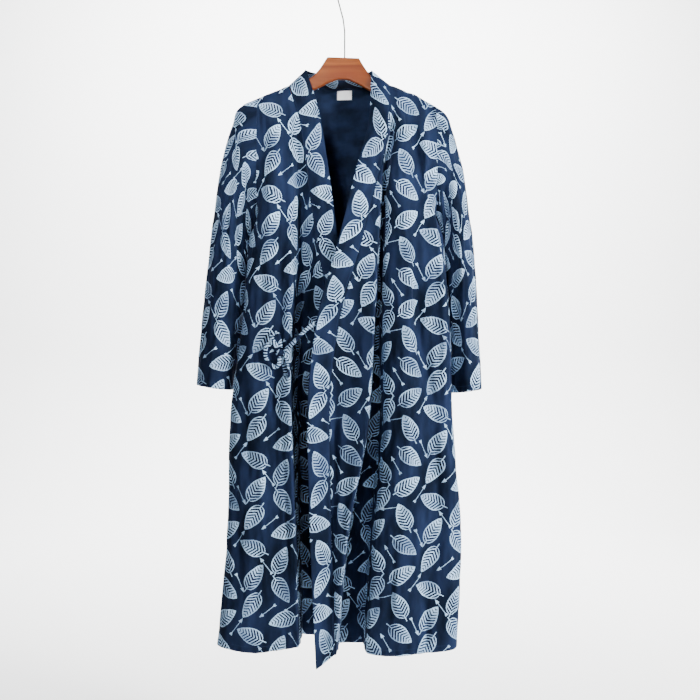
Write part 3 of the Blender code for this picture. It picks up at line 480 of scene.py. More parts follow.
def relief(sheet, x, z, across_cloth):
    """How far the small creases lift the cloth off its sheet."""
    lift = np.zeros_like(x)
    for crease in CREASES[sheet]:
        share = (z - crease.z1) / (crease.z2 - crease.z1)
        path = crease.x1 + (crease.x2 - crease.x1) * share + crease.bow * 4 * share * (1 - share)
        ends = ease(share / 0.35) * ease((1 - share) / 0.35)
        lift += crease.depth * np.exp(-(((x - path) / crease.width) ** 2)) * ends
    lift = RELIEF_SHARE * lift + waves(across_cloth, z)
    from_knot = ((x - KNOT.x) ** 2 + (z - KNOT.z) ** 2) / KNOT_CALM**2
    return lift * (1 - np.exp(-from_knot)) if sheet == "under" else lift


def waves(u, w):
    lift = 0.0
    for wave in WAVES:
        phase = 2 * np.pi * (u / wave.across + w / wave.down) + wave.start
        patch = 0.5 + 0.5 * np.sin(2 * np.pi * (w - 0.6 * u) / wave.patch + 2 * wave.start)
        lift = lift + wave.height * np.sin(phase) * patch
    return lift


def hem_half(distance):
    """Half the cloth's thickness, this far from a hem or a cuff, where it is folded double and turned."""
    half = (CLOTH + HEM_FOLD * ease((HEM_WIDTH - distance) / 0.003)) / 2
    return half * rounded(distance, half)


def cloth_coordinates(u, w, stitch, shift):
    """What the materials read: place across and up the cloth, and distance from the line of stitches."""
    parts = np.broadcast_arrays(u + shift[0], w + shift[1], stitch)
    return np.stack(parts, axis=-1)


def body_sheet(sheet):
    """One body sheet with its creases: its grid of points, the way each faces, its place across the cut, and
    how many columns lie before the neckband's seam."""
    v = body_rows()
    lines = stations(sheet, v)
    last = lines.shape[1] - 1
    if sheet == "back":
        places = np.tile(even_places(lines, 0, last, PANEL_COLUMNS[sheet]), (len(v), 1))
    else:
        band_seam, panel_seam = seam_places(sheet, lines)
        valley = VALLEY[sheet]
        steps = np.linspace(0, 1, SEAM_COLUMNS[sheet])[1:]
        to_seam = valley + (panel_seam[:, None] - valley) * steps
        outer = 0 if sheet == "under" else last
        wide = np.tile(even_places(lines, outer, valley, PANEL_COLUMNS[sheet]), (len(v), 1))
        edge = last if sheet == "under" else 0
        on_band = band_seam[:, None] + (edge - band_seam[:, None]) * band_steps()
        places = np.concatenate([wide, to_seam, on_band], axis=1)
    points = across(lines, places)
    facing = np.array([0, BACK if sheet == "back" else FRONT, 0])
    run = run_along(points, 1)
    start = np.argmin(abs(places - PRINT_FROM[sheet]), axis=1)
    u = run - run[np.arange(len(v)), start][:, None]
    if sheet == "over":
        u = -u
    from_side = run if sheet != "back" else np.minimum(run, run[:, -1:] - run)
    calm = ease(from_side / SIDE_FADE) * ease((points[:1, :, 2] - points[..., 2]) / TOP_FADE)
    split = points.shape[1]
    if sheet != "back":
        split -= BAND_COLUMNS
        calm[:, split:] *= 1 - 0.5 * band_steps()
    lift = relief(sheet, points[..., 0], points[..., 2], u) * calm
    points = points + faces_out(points, facing) * lift[..., None]
    return points, faces_out(points, facing), u, split


def band_steps():
    """Shares of the band's width from its seam to its folded edge, closer together at the fold."""
    near_edge = 1 - np.array([0.0020, 0.0012, 0.0006, 0.0002, 0.0]) / BAND_WIDTH
    return np.concatenate([np.linspace(0, near_edge[0], BAND_COLUMNS - len(near_edge) + 1)[:-1], near_edge])


def add_mesh(name, verts, faces, *materials, cloth=None):
    mesh = bpy.data.meshes.new(name)
    mesh.from_pydata(verts, [], faces)
    for material in materials:
        mesh.materials.append(material)
    if cloth is not None:
        attribute = mesh.attributes.new("cloth", "FLOAT_VECTOR", "POINT")
        attribute.data.foreach_set("vector", cloth.astype(np.float32).ravel())
    mesh.shade_smooth()
    obj = bpy.data.objects.new(name, mesh)
    bpy.context.collection.objects.link(obj)
    return obj


def shell(name, points, normals, half, cloth, outside, inside):
    """A thin closed wall, half its thickness each side of a grid of points."""
    rows, columns = points.shape[:2]
    count = rows * columns
    half = np.broadcast_to(half, (rows, columns))[..., None]
    verts = np.concatenate([points + normals * half, points - normals * half]).reshape(-1, 3)
    index = np.arange(count).reshape(rows, columns)
    corners = [index[:-1, :-1], index[1:, :-1], index[1:, 1:], index[:-1, 1:]]
    outer = np.stack(corners, axis=-1).reshape(-1, 4)
    inner = outer[:, ::-1] + count
    ring = np.concatenate([index[0], index[1:, -1], index[-1, -2::-1], index[-2:0:-1, 0]])
    following = np.roll(ring, -1)
    rim = np.stack([ring, following, following + count, ring + count], axis=-1)
    faces = np.concatenate([outer, inner, rim])
    # The outer face must look the way the normals point
    a, b, d = (points[0, 0], points[1, 0], points[0, 1])
    if np.dot(np.cross(b - a, d - a), normals[0, 0]) < 0:
        faces = faces[:, ::-1]
    cloth = np.tile(cloth.reshape(-1, 3), (2, 1))
    obj = add_mesh(name, verts.tolist(), faces.tolist(), outside, inside, cloth=cloth)
    side = [0] * len(outer) + [1] * len(inner) + [0] * len(rim)
    obj.data.polygons.foreach_set("material_index", side)
    return obj


class Nodes:
    """Short ways to add and link nodes in one material."""

    def __init__(self, name):
        self.material = bpy.data.materials.new(name)
        self.material.use_nodes = True
        self.tree = self.material.node_tree
        self.shader = self.tree.nodes["Principled BSDF"]

    def add(self, kind, inputs, output=0, **settings):
        """A new node. inputs maps a socket's name or number to a value or to another socket."""
        node = self.tree.nodes.new(kind)
        for setting, value in settings.items():
            setattr(node, setting, value)
        for socket, value in inputs.items():
            self.put(node.inputs[socket], value)
        return node.outputs[output]

    def put(self, socket, value):
        if isinstance(value, bpy.types.NodeSocket):
            self.tree.links.new(value, socket)
        else:
            socket.default_value = value

    def math(self, operation, *values):
        return self.add("ShaderNodeMath", dict(enumerate(values)), operation=operation)

    def times(self, first, second):
        return self.math("MULTIPLY", first, second)

    def scaled(self, place, scales):
        return self.vector("MULTIPLY", place, scales)

    def parts(self, place):
        """The three numbers of a place."""
        return self.add("ShaderNodeSeparateXYZ", {0: place}).node.outputs

    def to_and_fro(self, value, pitch):
        """From 0 up to 0.5 and back over each pitch."""
        return self.math("PINGPONG", self.math("DIVIDE", value, pitch), 0.5)

    def vector(self, operation, *values):
        output = 1 if operation == "LENGTH" else 0
        return self.add("ShaderNodeVectorMath", dict(enumerate(values)), output, operation=operation)

    def soft_step(self, value, start, end):
        """0 below start, 1 above end, smooth between; start may lie above end."""
        inputs = {"Value": value, "From Min": start, "From Max": end}
        return self.add("ShaderNodeMapRange", inputs, interpolation_type="SMOOTHSTEP")

    def ramp(self, value, start, end, low=0.0, high=1.0):
        inputs = {"Value": value, "From Min": start, "From Max": end, "To Min": low, "To Max": high}
        return self.add("ShaderNodeMapRange", inputs)

    def noise(self, place, scale, detail=2.0, output=0):
        return self.add("ShaderNodeTexNoise", {"Vector": place, "Scale": scale, "Detail": detail}, output)

    def patches(self, place, scale, detail, start, end):
        """Soft patches: noise from 0, at start, to 1, at end."""
        return self.ramp(self.noise(place, scale, detail), start, end)

    def mix_colour(self, share, first, second):
        first, second = ((*c, 1) if isinstance(c, tuple) else c for c in (first, second))
        return self.add("ShaderNodeMix", {0: share, 6: first, 7: second}, 2, data_type="RGBA")

    def mix_vector(self, share, first, second):
        return self.add("ShaderNodeMix", {0: share, 4: first, 5: second}, 1, data_type="VECTOR")

    def curve(self, value, points, handles="AUTO"):
        """A curve through points of (place, value), smooth unless handles is VECTOR."""
        node = self.tree.nodes.new("ShaderNodeFloatCurve")
        line = node.mapping.curves[0]
        line.points[0].location = points[0]
        line.points[1].location = points[-1]
        for point in points[1:-1]:
            line.points.new(*point)
        for point in line.points:
            point.handle_type = handles
        node.mapping.update()
        self.put(node.inputs["Value"], value)
        return node.outputs[0]

    def bump(self, height, strength, distance, normal=None):
        inputs = {"Height": height, "Strength": strength, "Distance": distance}
        if normal is not None:
            inputs["Normal"] = normal
        return self.add("ShaderNodeBump", inputs)

    def finish(self, **sockets):
        """Sets the shader's own sockets, named with _ for a space."""
        for name, value in sockets.items():
            self.put(self.shader.inputs[name.replace("_", " ")], value)
        return self.material


# Half widths along a leaf, from its stem to its tip, and along an arrow, from its tail to its point
LEAF_SHAPE = (
    (0.0, 0.0), (0.03, 0.10), (0.10, 0.190), (0.24, 0.265), (0.40, 0.280), (0.58, 0.250),
    (0.76, 0.175), (0.90, 0.095), (1.0, 0.0),
)
ARROW_SHAPE = (
    (0.0, 0.070), (0.09, 0.064), (0.13, 0.020), (0.20, 0.015), (0.77, 0.015), (0.80, 0.090), (0.90, 0.048),
    (1.0, 0.0),
)
VEIN_PITCH, VEIN_SLANT, LEAF_MARGIN = 0.0068, 0.75, 0.0022
LEAF_NARROWING, ARROW_NARROWING = 1.45, 3.0  # length over width, where the nearest motif is sought
BARB_SWEEP = 0.45
WEAVE_PITCH = 0.0008
STITCH_LENGTH, LABEL_STITCH_LENGTH = 0.0032, 0.0024
WOVEN_SHEEN = {"Sheen_Weight": 0.03, "Sheen_Tint": (0.45, 0.60, 0.95, 1.0), "Specular_IOR_Level": 0.05}


def nearest_motif(nodes, place, motifs, narrowing):
    """The place seen from the motif that it lies nearest to, turned upright."""
    nearest, least = None, None
    for motif in motifs:
        offset = nodes.vector("SUBTRACT", place, (motif.x, motif.y, 0.0))
        half = (BLOCK_WIDTH / 2, BLOCK_HEIGHT / 2, 1.0)
        offset = nodes.vector("WRAP", offset, half, tuple(-size for size in half))
        turn = {"Vector": offset, "Angle": -math.radians(motif.turn)}
        offset = nodes.add("ShaderNodeVectorRotate", turn, rotation_type="Z_AXIS")
        far = nodes.vector("LENGTH", nodes.scaled(offset, (narrowing, 1.0, 0.0)))
        if nearest is None:
            nearest, least = offset, far
            continue
        nearer = nodes.math("LESS_THAN", far, least)
        nearest = nodes.mix_vector(nearer, nearest, offset)
        least = nodes.math("MINIMUM", far, least)
    return nearest


def leaf_print(nodes, place):
    """Where a leaf is printed: a broad base, a pointed tip, and V-shaped veins inside a plain margin."""
    local = nodes.parts(nearest_motif(nodes, place, LEAVES, LEAF_NARROWING))
    across_leaf = nodes.math("ABSOLUTE", local[0])
    along = nodes.math("MULTIPLY_ADD", local[1], 1 / LEAF_LENGTH, 0.5)
    half = nodes.times(nodes.curve(along, LEAF_SHAPE), LEAF_LENGTH)
    inside = nodes.math("SUBTRACT", half, across_leaf)
    solid = nodes.soft_step(inside, -0.0002, 0.0004)
    slanted = nodes.math("MULTIPLY_ADD", across_leaf, -VEIN_SLANT, local[1])
    wave = nodes.to_and_fro(slanted, VEIN_PITCH)
    width = nodes.ramp(along, 0.40, 1.0, 0.31, 0.11)
    vein = nodes.soft_step(nodes.math("SUBTRACT", wave, width), 0.05, -0.05)
    in_margin = nodes.soft_step(inside, LEAF_MARGIN * 0.7, LEAF_MARGIN * 1.3)
    veined = nodes.times(vein, in_margin)
    leaf = nodes.times(solid, nodes.math("SUBTRACT", 1.0, veined))
    on_stem = nodes.soft_step(across_leaf, 0.0011, 0.0006)
    stem_end = nodes.soft_step(along, -0.15, -0.13)
    stem_top = nodes.soft_step(along, 0.10, 0.08)
    stem = nodes.times(on_stem, nodes.times(stem_end, stem_top))
    return nodes.math("MAXIMUM", leaf, stem)


def arrow_print(nodes, place):
    """Where a small arrow is printed: a thin shaft, a barbed head and a notched tail."""
    local = nodes.parts(nearest_motif(nodes, place, ARROWS, ARROW_NARROWING))
    across_arrow = nodes.math("ABSOLUTE", local[0])
    swept = nodes.math("MULTIPLY_ADD", across_arrow, BARB_SWEEP, local[1])
    along = nodes.math("MULTIPLY_ADD", swept, 1 / ARROW_LENGTH, 0.5)
    half = nodes.times(nodes.curve(along, ARROW_SHAPE, "VECTOR"), ARROW_LENGTH)
    ends = nodes.times(nodes.math("GREATER_THAN", along, 0.0), nodes.math("LESS_THAN", along, 1.0))
    inside = nodes.math("SUBTRACT", half, across_arrow)
    return nodes.times(nodes.soft_step(inside, -0.0002, 0.0003), ends)


def weave_bump(nodes, cloth):
    """The threads of a plain weave, and the slight crumple of washed cotton."""
    turns = 2 * math.pi / WEAVE_PITCH
    threads = nodes.parts(nodes.vector("SINE", nodes.scaled(cloth, (turns, turns, 0))))
    fine = nodes.bump(nodes.times(threads[0], threads[1]), 0.25, 0.0001)
    crumple = nodes.noise(nodes.scaled(cloth, (1.0, 0.45, 0.0)), 55.0, 4.0)
    return nodes.bump(crumple, 0.55, 0.0016, fine)


def stitch_line(nodes, cloth):
    """Where the thread of a line of stitches shows."""
    u, w, off = nodes.parts(cloth)
    on_line = nodes.soft_step(nodes.math("ABSOLUTE", off), 0.0007, 0.0003)
    dash = nodes.to_and_fro(nodes.math("ADD", u, w), STITCH_LENGTH)
    return nodes.times(on_line, nodes.soft_step(dash, 0.10, 0.16))


def cloth_attribute(nodes):
    return nodes.add("ShaderNodeAttribute", {}, 1, attribute_name="cloth")


def printed_cloth():
    nodes = Nodes("printed_cloth")
    cloth = cloth_attribute(nodes)
    plane = nodes.scaled(cloth, (1.0, 1.0, 0.0))
    ragged = nodes.vector("SUBTRACT", nodes.noise(plane, 420.0, 2.0, 1), (0.5, 0.5, 0.5))
    place = nodes.vector("ADD", plane, nodes.scaled(ragged, (0.0022, 0.0022, 0.0)))
    printed = nodes.math("MAXIMUM", leaf_print(nodes, place), arrow_print(nodes, place))
    cover = nodes.ramp(nodes.noise(plane, 700.0, 2.0), 0.32, 0.52, 0.62, 1.0)
    printed = nodes.times(printed, cover)
    # The ground's patches are drawn out down the cloth. They are partly uneven dye and partly painted light
    # and shade of soft folds.
    dye_and_painted_shade_streaks = nodes.scaled(cloth, (1.0, 0.35, 0.0))
    ground_tone = nodes.patches(dye_and_painted_shade_streaks, 24.0, 3.0, 0.36, 0.64)
    ground = nodes.mix_colour(ground_tone, GROUND, GROUND_PALER_DYE_AND_PAINTED_LIGHT)
    worn = nodes.patches(plane, 17.0, 1.0, 0.38, 0.68)
    ink = nodes.mix_colour(worn, INK, INK_WORN)
    colour = nodes.mix_colour(printed, ground, ink)
    colour = nodes.mix_colour(stitch_line(nodes, cloth), colour, THREAD)
    relief_of_print = nodes.bump(printed, 0.15, 0.0001, weave_bump(nodes, cloth))
    roughness = nodes.ramp(printed, 0.0, 1.0, 0.92, 0.80)
    return nodes.finish(
        Base_Color=colour, Roughness=roughness, Normal=relief_of_print, Sheen_Roughness=0.45, **WOVEN_SHEEN
    )


def inside_cloth():
    nodes = Nodes("inside_cloth")
    cloth = cloth_attribute(nodes)
    ground_tone = nodes.patches(cloth, 26.0, 3.0, 0.35, 0.65)
    colour = nodes.mix_colour(stitch_line(nodes, cloth), nodes.mix_colour(ground_tone, INSIDE, GROUND), THREAD)
    weave = weave_bump(nodes, cloth)
    return nodes.finish(Base_Color=colour, Roughness=0.93, Normal=weave, Sheen_Roughness=0.5, **WOVEN_SHEEN)


def label_cloth():
    nodes = Nodes("label_cloth")
    cloth = cloth_attribute(nodes)
    u, w, off = nodes.parts(cloth)
    rib = nodes.bump(nodes.math("SINE", nodes.times(nodes.math("ADD", u, w), 9000.0)), 0.3, 0.0001)
    soil = nodes.noise(cloth, 140.0, 3.0)
    colour = nodes.mix_colour(nodes.ramp(soil, 0.35, 0.7), (0.94, 0.96, 0.98), (0.86, 0.88, 0.90))
    on_line = nodes.soft_step(nodes.math("ABSOLUTE", off), 0.0005, 0.0002)
    thread = nodes.times(on_line, nodes.soft_step(nodes.to_and_fro(w, LABEL_STITCH_LENGTH), 0.12, 0.2))
    colour = nodes.mix_colour(thread, colour, (0.55, 0.56, 0.58))
    return nodes.finish(Base_Color=colour, Roughness=0.6, Normal=rib, Sheen_Weight=0.1)


def hanger_wood():
    """Stained and varnished wood: growth rings cut lengthwise, fine pores, and a redder middle."""
    nodes = Nodes("hanger_wood")
    place = nodes.add("ShaderNodeTexCoord", {}, "Object")
    bend = nodes.noise(nodes.scaled(place, (5.0, 12.0, 12.0)), 1.0, 2.0)
    drawn_out = nodes.scaled(place, (3.0, 46.0, 46.0))
    bends = nodes.add("ShaderNodeCombineXYZ", {0: bend, 1: bend, 2: bend})
    rings = nodes.noise(nodes.vector("ADD", drawn_out, nodes.scaled(bends, (0.0, 1.6, 2.4))), 1.6, 3.0)
    pores = nodes.noise(nodes.scaled(place, (40.0, 900.0, 900.0)), 1.0, 2.0)
    light, dark, red = (0.25, 0.064, 0.010), (0.12, 0.027, 0.005), (0.12, 0.019, 0.004)
    colour = nodes.mix_colour(nodes.ramp(rings, 0.32, 0.68), light, dark)
    from_middle = nodes.vector("SUBTRACT", place, (0.006, 0.0, -0.206))
    middle = nodes.vector("LENGTH", nodes.scaled(from_middle, (13.0, 0.0, 40.0)))
    colour = nodes.mix_colour(nodes.times(nodes.soft_step(middle, 1.1, 0.1), 0.7), colour, red)
    colour = nodes.mix_colour(nodes.ramp(pores, 0.60, 0.72, 0.0, 0.45), colour, dark)
    roughness = nodes.ramp(rings, 0.3, 0.7, 0.34, 0.46)
    return nodes.finish(
        Base_Color=colour, Roughness=roughness, Normal=nodes.bump(pores, 0.12, 0.0003), Coat_Weight=0.06,
        Coat_Roughness=0.35, Specular_IOR_Level=0.2,
    )


def hook_wire():
    nodes = Nodes("hook_wire")
    place = nodes.add("ShaderNodeTexCoord", {}, "Object")
    scuffs = nodes.noise(nodes.scaled(place, (300.0, 300.0, 60.0)), 1.0, 3.0)
    colour = nodes.mix_colour(scuffs, (0.030, 0.029, 0.028), (0.075, 0.072, 0.070))
    return nodes.finish(
        Base_Color=colour, Metallic=1.0, Roughness=nodes.ramp(scuffs, 0.3, 0.7, 0.34, 0.52),
        Normal=nodes.bump(scuffs, 0.1, 0.0002),
    )


def backdrop_paper():
    nodes = Nodes("backdrop_paper")
    place = nodes.add("ShaderNodeTexCoord", {}, "Object")
    tone = nodes.patches(place, 1.3, 2.0, 0.3, 0.7)
    colour = nodes.mix_colour(tone, (0.90, 0.90, 0.90), (0.88, 0.885, 0.89))
    return nodes.finish(Base_Color=colour, Roughness=0.9)


def declare(obj, node, flat, *rests_on, area=None, held="hung", slot="printed_cloth", with_pieces=()):
    """Hangs a piece of cloth on the root body and hides the solid of the node that it stands for. Neither the
    bodies that it rests on nor its cut are used.
    """
    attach(obj, "root")
    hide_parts(node)


def make_panel(sheet, node, grid, flat, printed, inside):
    points, normals, u = (part[:, :grid[3]] for part in grid[:3])
    distance = points[..., 2] - points[-1:, :, 2]
    cloth = cloth_coordinates(u, points[..., 2], distance - STITCH_INSET, PRINT_SHIFT[sheet])
    obj = shell("cloth_" + node, points, normals, hem_half(distance), cloth, printed, inside)
    declare(obj, node, flat, "hanger_wood")


def neck_stretch(left, right, back_points):
    """The band's sections behind the neck. Its folded edge leans back from the seam, most at the middle."""
    top = back_points[0]
    rows = [left]
    steps = band_steps()[:, None]
    for i in range(1, NECK_SECTIONS):
        turn = math.pi * i / NECK_SECTIONS
        share = (1 - math.cos(turn)) / 2
        edge = left[-1] + (right[-1] - left[-1]) * share
        edge = edge + np.array([0, NECK_DEPTH, NECK_RISE]) * math.sin(turn)
        edge[2] += NECK_SIDE_RISE * abs(math.sin(2 * turn))
        seam_x = left[0][0] + (right[0][0] - left[0][0]) * share
        seam_y, seam_z = (float(np.interp(seam_x, top[:, 0], top[:, i])) for i in (1, 2))
        seam = np.array([seam_x, seam_y, seam_z + BAND_SEAM_GAP])
        rows.append(seam + (edge - seam) * steps)
    grid = np.array(rows + [right])
    normals = unit(np.cross(np.gradient(grid, axis=1), np.gradient(grid, axis=0)))
    return grid[1:-1], normals[1:-1]


def make_neckband(under, over, back, printed):
    """One strip: up the under front's edge, round the back of the neck, and down the over front's edge."""
    under_points, under_normals, _u, split = under
    over_points, over_normals, _u, over_split = over
    left, right = under_points[:, split:], over_points[:, over_split:]
    neck_points, neck_normals = neck_stretch(left[0], right[0], back[0])
    points = np.concatenate([left[::-1], neck_points, right])
    normals = np.concatenate([under_normals[::-1, split:], neck_normals, over_normals[:, over_split:]])
    from_seam = band_steps() * BAND_WIDTH
    half = BAND_THICK / 2 * rounded(BAND_WIDTH - from_seam, BAND_THICK / 2)
    run = run_along(points.mean(axis=1), 0)
    ends = np.minimum(run, run[-1] - run)[:, None]
    half = half * rounded(ends, BAND_THICK / 2)
    cloth = cloth_coordinates(from_seam, -run[:, None], from_seam - BAND_STITCH, PRINT_SHIFT["band"])
    obj = shell("cloth_neckband", points, normals, half, cloth, printed, printed)
    declare(obj, "neckband", (0.050, 2.52), "hanger_wood")


def sleeve_grid(side):
    """Points of a sleeve, from armhole to cuff, and round it from the underarm seam back to that seam."""
    near_cuff = 1 - TURNED_ROWS / SLEEVE_LENGTH
    along = np.concatenate([np.linspace(0, 1, SLEEVE_ROWS)[:-1], near_cuff])
    turns = np.linspace(-SLEEVE_SEAM_TURN, SLEEVE_SEAM_TURN, SLEEVE_TURNS)
    sections = np.array(SLEEVE_SECTIONS[side])
    values = [
        smooth_through(range(len(sections)), sections[:, i], along * (len(sections) - 1))[:, None]
        for i in range(6)
    ]
    outer_x, outer_z, inner_x, inner_z, depth, middle_y = values
    inner_x = inner_x - side * UNDERARM_LEAN * np.sin(np.pi * np.clip(along / 0.8, 0, 1))[:, None]
    angle = 2 * np.pi * turns
    share = (1 - np.cos(angle)) / 2
    half_depth = depth + SEAM_GAP / 2 - sleeve_creases(side, turns[None, :] % 1, along[:, None])
    x = outer_x + (inner_x - outer_x) * share + side * SEAM_GAP * (1 - along[:, None])
    y = middle_y - half_depth * np.sin(angle)
    z = outer_z + (inner_z - outer_z) * share
    return np.stack([x, y, z], axis=-1)


def sleeve_creases(side, turn, along):
    depth = np.zeros((along.shape[0], turn.shape[1]))
    for crease in SLEEVE_CREASES[side]:
        share = (along - crease.start) / (crease.end - crease.start)
        off = (turn - crease.turn - crease.drift * share + 0.5) % 1 - 0.5
        reach = ease((along - crease.start) / 0.15) * ease((crease.end - along) / 0.15 + 0.5)
        depth = depth + crease.depth * np.exp(-((off / crease.width) ** 2)) * reach
    return depth


def make_sleeve(side, printed, inside):
    name = "sleeve_left" if side == LEFT else "sleeve_right"
    points = sleeve_grid(side)
    middle = points.mean(axis=1, keepdims=True)
    run = run_along(points, 1)
    u = run - run[:, SLEEVE_TURNS // 2 - 1:SLEEVE_TURNS // 2 + 1].mean(axis=1, keepdims=True)
    down = run_along(points, 0)
    from_cuff = down[-1:] - down
    calm = ease(down / 0.03) * ease(np.minimum(run, run[:, -1:] - run) / 0.02)
    outward = faces_out(points, points - middle)
    points = points + outward * (waves(u, from_cuff) * calm * 1.2)[..., None]
    normals = faces_out(points, points - middle)
    cloth = cloth_coordinates(u, from_cuff, from_cuff - STITCH_INSET, PRINT_SHIFT[name])
    obj = shell("cloth_" + name, points, normals, hem_half(from_cuff), cloth, printed, inside)
    declare(obj, name, (0.49, 0.60), "cloth_back", "hanger_wood", area=0.155)


def on_under_front(x, z, lift):
    """The point that stands off the under front by lift at x and z, and the way the cloth faces there."""
    side_turn, in_valley, step = 1, 5.4, 0.004
    v = 1 + (z - UNDERARM_Z) / (HEM_Z - UNDERARM_Z) + np.array([-step, 0.0, step])
    places = np.tile(np.linspace(side_turn, in_valley, 600), (3, 1))
    rows = across(stations("under", v), places)
    normals = faces_out(rows, np.array([0, FRONT, 0]))
    near = np.argmin(abs(rows[1, :, 0] - x))
    facing = normals[1, near]
    return rows[1, near] + np.array([0, lift / facing[1], 0]), facing


def ribbon(name, route, facing, printed):
    """A flat tie along a smooth route, softly creased down its middle. Its flat side looks towards facing."""
    route = np.array(route)
    lengths = run_along(route, 0)
    at = np.linspace(0, lengths[-1], 14 * (len(route) - 1) + 1)
    line = np.column_stack([smooth_through(lengths, route[:, i], at) for i in range(3)])
    sides = unit(np.cross(np.gradient(line, axis=0), np.array(facing, float)))
    flat = unit(np.cross(sides, np.gradient(line, axis=0)))
    share = np.sin(np.linspace(-math.pi / 2, math.pi / 2, 13))
    wobble = 1 + 0.10 * np.sin(at / 0.011)
    offset = share * TIE_WIDTH / 2 * wobble[:, None]
    dip = 0.0006 * np.cos(share * math.pi) * np.ones_like(offset)
    grid = line[:, None] + sides[:, None] * offset[..., None] + flat[:, None] * dip[..., None]
    half = TIE_THICK / 2 * rounded((1 - abs(share)) * TIE_WIDTH / 2, TIE_THICK / 2)
    ends = np.minimum(at, at[-1] - at)[:, None]
    half = half * rounded(ends, TIE_THICK / 2)
    shift = PRINT_SHIFT["tie"]
    cloth = cloth_coordinates(offset, at[:, None] + route[0][0], TIE_WIDTH, shift)
    normals = np.broadcast_to(flat[:, None], grid.shape)
    flat_size = (TIE_CUT, round(float(lengths[-1]), 3))
    return shell(name, grid, normals, half, cloth, printed, printed), flat_size


def make_knot(printed):
    """The tie wrapped round itself: a small tight bundle with slanting folds."""
    centre, _facing = on_under_front(*KNOT)
    rings, turns = 26, 40
    tilt = np.linspace(0, math.pi, rings + 2)[1:-1, None]
    turn = np.linspace(0, 2 * math.pi, turns + 1)[None, :-1]
    swell = 1 + 0.07 * np.sin(3 * turn + 2.4 * tilt) * np.sin(tilt)
    swell = swell - 0.10 * np.exp(-(((tilt - 1.2) / 0.22) ** 2))
    level = np.sin(tilt)
    ball = np.stack([level * np.cos(turn), level * np.sin(turn), np.cos(tilt) + 0 * turn], axis=-1)
    points = centre + ball * swell[..., None] * KNOT_RADII
    poles = centre + np.array([[0, 0, KNOT_RADII[2]], [0, 0, -KNOT_RADII[2]]])
    index = np.arange(rings * turns).reshape(rings, turns)
    following = np.roll(index, -1, axis=1)
    sides = np.stack([index[:-1], index[1:], following[1:], following[:-1]], axis=-1).reshape(-1, 4)
    top, bottom = rings * turns, rings * turns + 1
    caps = [[top, int(a), int(b)] for a, b in zip(index[0], following[0])]
    caps += [[bottom, int(b), int(a)] for a, b in zip(index[-1], following[-1])]
    verts = np.concatenate([points.reshape(-1, 3), poles])
    cloth = (verts - centre)[:, [0, 2, 1]] + KNOT_PRINT
    knot = add_mesh("tie_knot_cloth", verts.tolist(), sides.tolist() + caps, printed, cloth=cloth)
    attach(knot, "root")
    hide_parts("tie_knot")
    return knot


def make_tie(printed):
    knot = make_knot(printed)
    for name, route in BOW_ROUTES.items():
        placed = [on_under_front(*point) for point in route]
        facing = placed[len(placed) // 2][1]
        obj, flat = ribbon(name + "_cloth", [point for point, _facing in placed], facing, printed)
        declare(obj, name, flat, "tie_knot_cloth")
    strap, flat = ribbon("tie_strap_cloth", STRAP_ROUTE, (0, -1, 0), printed)
    declare(strap, "tie_strap", flat, "cloth_neckband", with_pieces=[knot])


def make_label(back, material):
    """A small blank woven label inside the back, under the neck seam, with its two ends sewn down."""
    points, normals = back[:2]
    both = np.concatenate([points, normals], axis=2)
    found = []
    columns, rows = 33, 21
    lift = (CLOTH + LABEL_THICK) / 2 + SEAM_GAP
    xs = np.linspace(LABEL_X - LABEL_WIDTH / 2, LABEL_X + LABEL_WIDTH / 2, columns)
    for z in np.linspace(LABEL_TOP_Z, LABEL_TOP_Z - LABEL_HEIGHT, rows):
        level = np.array([
            [np.interp(-z, -column[:, 2], column[:, i]) for i in range(6)]
            for column in both[:ROWS_ABOVE].swapaxes(0, 1)
        ])
        found.append(np.column_stack([np.interp(xs, level[:, 0], level[:, i]) for i in range(6)]))
    found = np.array(found)
    inward = unit(-found[..., 3:])
    sag = 0.0009 * np.sin(np.linspace(0, math.pi, columns))
    grid = found[..., :3] + inward * (lift + sag)[:, None]
    u = xs - LABEL_X
    w = -np.linspace(0, LABEL_HEIGHT, rows)[:, None]
    edge = np.minimum(LABEL_WIDTH / 2 - abs(u), np.minimum(-w, LABEL_HEIGHT + w))
    cloth = cloth_coordinates(u, w, LABEL_WIDTH / 2 - abs(u) - LABEL_STITCH, (0, 0))
    half = LABEL_THICK / 2 * rounded(edge, LABEL_THICK / 2)
    obj = shell("label_cloth", grid, inward, half, cloth, material, material)
    declare(obj, "neck_label", (LABEL_WIDTH, LABEL_HEIGHT), "cloth_back", held="laid", slot="label_cloth")


def make_backdrop():
    """A pale sheet of paper: a floor that curves up into a wall far behind the robe."""
    near_y, wall_y, bend, top_z_wall, half_width = -9.0, 3.6, 1.0, 3.6, 9.0
    turn = np.linspace(0, math.pi / 2, 17)
    bent = [(wall_y - bend + bend * math.sin(t), FLOOR_Z + bend - bend * math.cos(t)) for t in turn]
    profile = [(near_y, FLOOR_Z), *bent, (wall_y, top_z_wall)]
    verts = [(side * half_width, y, z) for y, z in profile for side in (-1, 1)]
    faces = [(2 * i, 2 * i + 1, 2 * i + 3, 2 * i + 2) for i in range(len(profile) - 1)]
    add_mesh("backdrop", verts, faces, backdrop_paper())


def softbox(name, place, target, size, power, spread=180):
    light = bpy.data.lights.new(name, "AREA")
    light.shape = "RECTANGLE"
    light.size, light.size_y = size
    light.energy = power
    light.spread = math.radians(spread)
    obj = bpy.data.objects.new(name, light)
    obj.location = place
    aim = bpy.data.objects.new(name + " aim", None)
    aim.location = target
    for made in (obj, aim):
        bpy.context.collection.objects.link(made)
    track = obj.constraints.new("TRACK_TO")
    track.target = aim
    track.track_axis, track.up_axis = "TRACK_NEGATIVE_Z", "UP_Y"


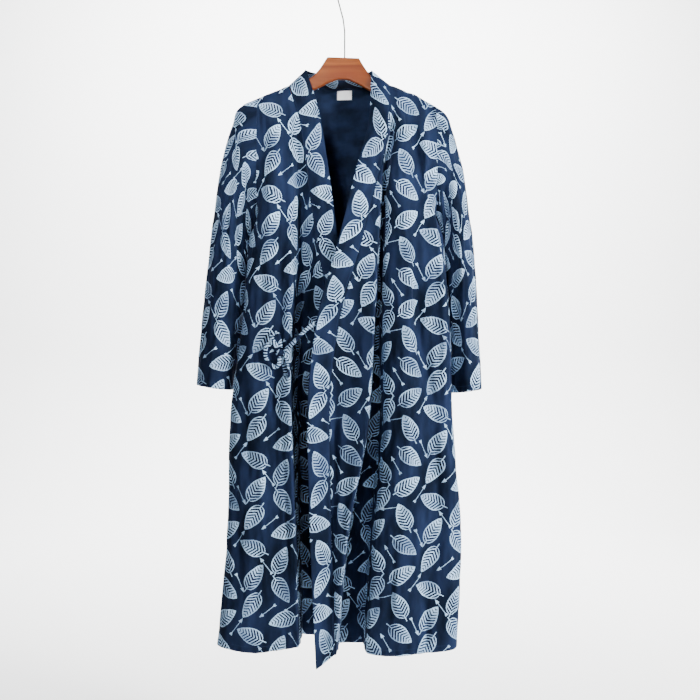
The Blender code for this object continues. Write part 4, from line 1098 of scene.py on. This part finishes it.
def make_studio():
    make_backdrop()
    chest = (0.0, 0.0, -0.75)
    softbox("key", (2.45, -1.75, 0.05), chest, (0.6, 0.8), 215.0)
    softbox("fill", (-0.6, -2.8, -0.3), chest, (1.2, 1.6), 2.0)
    softbox("from behind", (1.9, 1.9, 0.2), chest, (0.6, 0.8), 60.0)
    softbox("on the wall", (0.0, 1.2, 2.6), (0.0, 3.6, -0.6), (4.0, 1.2), 620.0, 120)
    softbox("on the neck", (-0.7, -2.4, 0.1), (-0.04, 0.0, -0.30), (0.4, 0.4), 1.6, 24)
    world = bpy.data.worlds.new("pale room")
    bpy.context.scene.world = world
    world.use_nodes = True
    background = world.node_tree.nodes["Background"]
    background.inputs["Color"].default_value = (0.95, 0.97, 1.0, 1)
    background.inputs["Strength"].default_value = 0.12


def make_camera():
    data = bpy.data.cameras.new("camera")
    data.sensor_width = SENSOR
    data.lens = SENSOR * -CAMERA[1] / VIEW_WIDTH
    camera = bpy.data.objects.new("camera", data)
    camera.location = CAMERA
    camera.rotation_euler = (math.pi / 2, 0, 0)
    bpy.context.collection.objects.link(camera)
    bpy.context.scene.camera = camera


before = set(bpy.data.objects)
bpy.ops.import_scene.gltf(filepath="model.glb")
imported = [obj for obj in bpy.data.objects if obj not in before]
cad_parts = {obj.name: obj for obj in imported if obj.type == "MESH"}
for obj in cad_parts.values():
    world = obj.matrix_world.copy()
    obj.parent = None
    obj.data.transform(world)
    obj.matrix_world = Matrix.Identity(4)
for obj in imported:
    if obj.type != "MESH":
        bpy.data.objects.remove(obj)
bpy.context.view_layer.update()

make_camera()
make_studio()

printed, inside = printed_cloth(), inside_cloth()
under_grid, over_grid, back_grid = (body_sheet(sheet) for sheet in ("under", "over", "back"))
make_panel("back", "back", back_grid, (0.62, 1.16), printed, inside)
make_panel("under", "front_under", under_grid, (0.36, 1.16), printed, inside)
make_panel("over", "front_over", over_grid, (0.40, 1.16), printed, inside)
make_neckband(under_grid, over_grid, back_grid, printed)
make_sleeve(LEFT, printed, inside)
make_sleeve(RIGHT, printed, inside)
make_tie(printed)
make_label(back_grid, label_cloth())
for node, material in (("hanger_wood", hanger_wood()), ("hanger_hook", hook_wire())):
    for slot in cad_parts[node].material_slots:
        slot.material = material
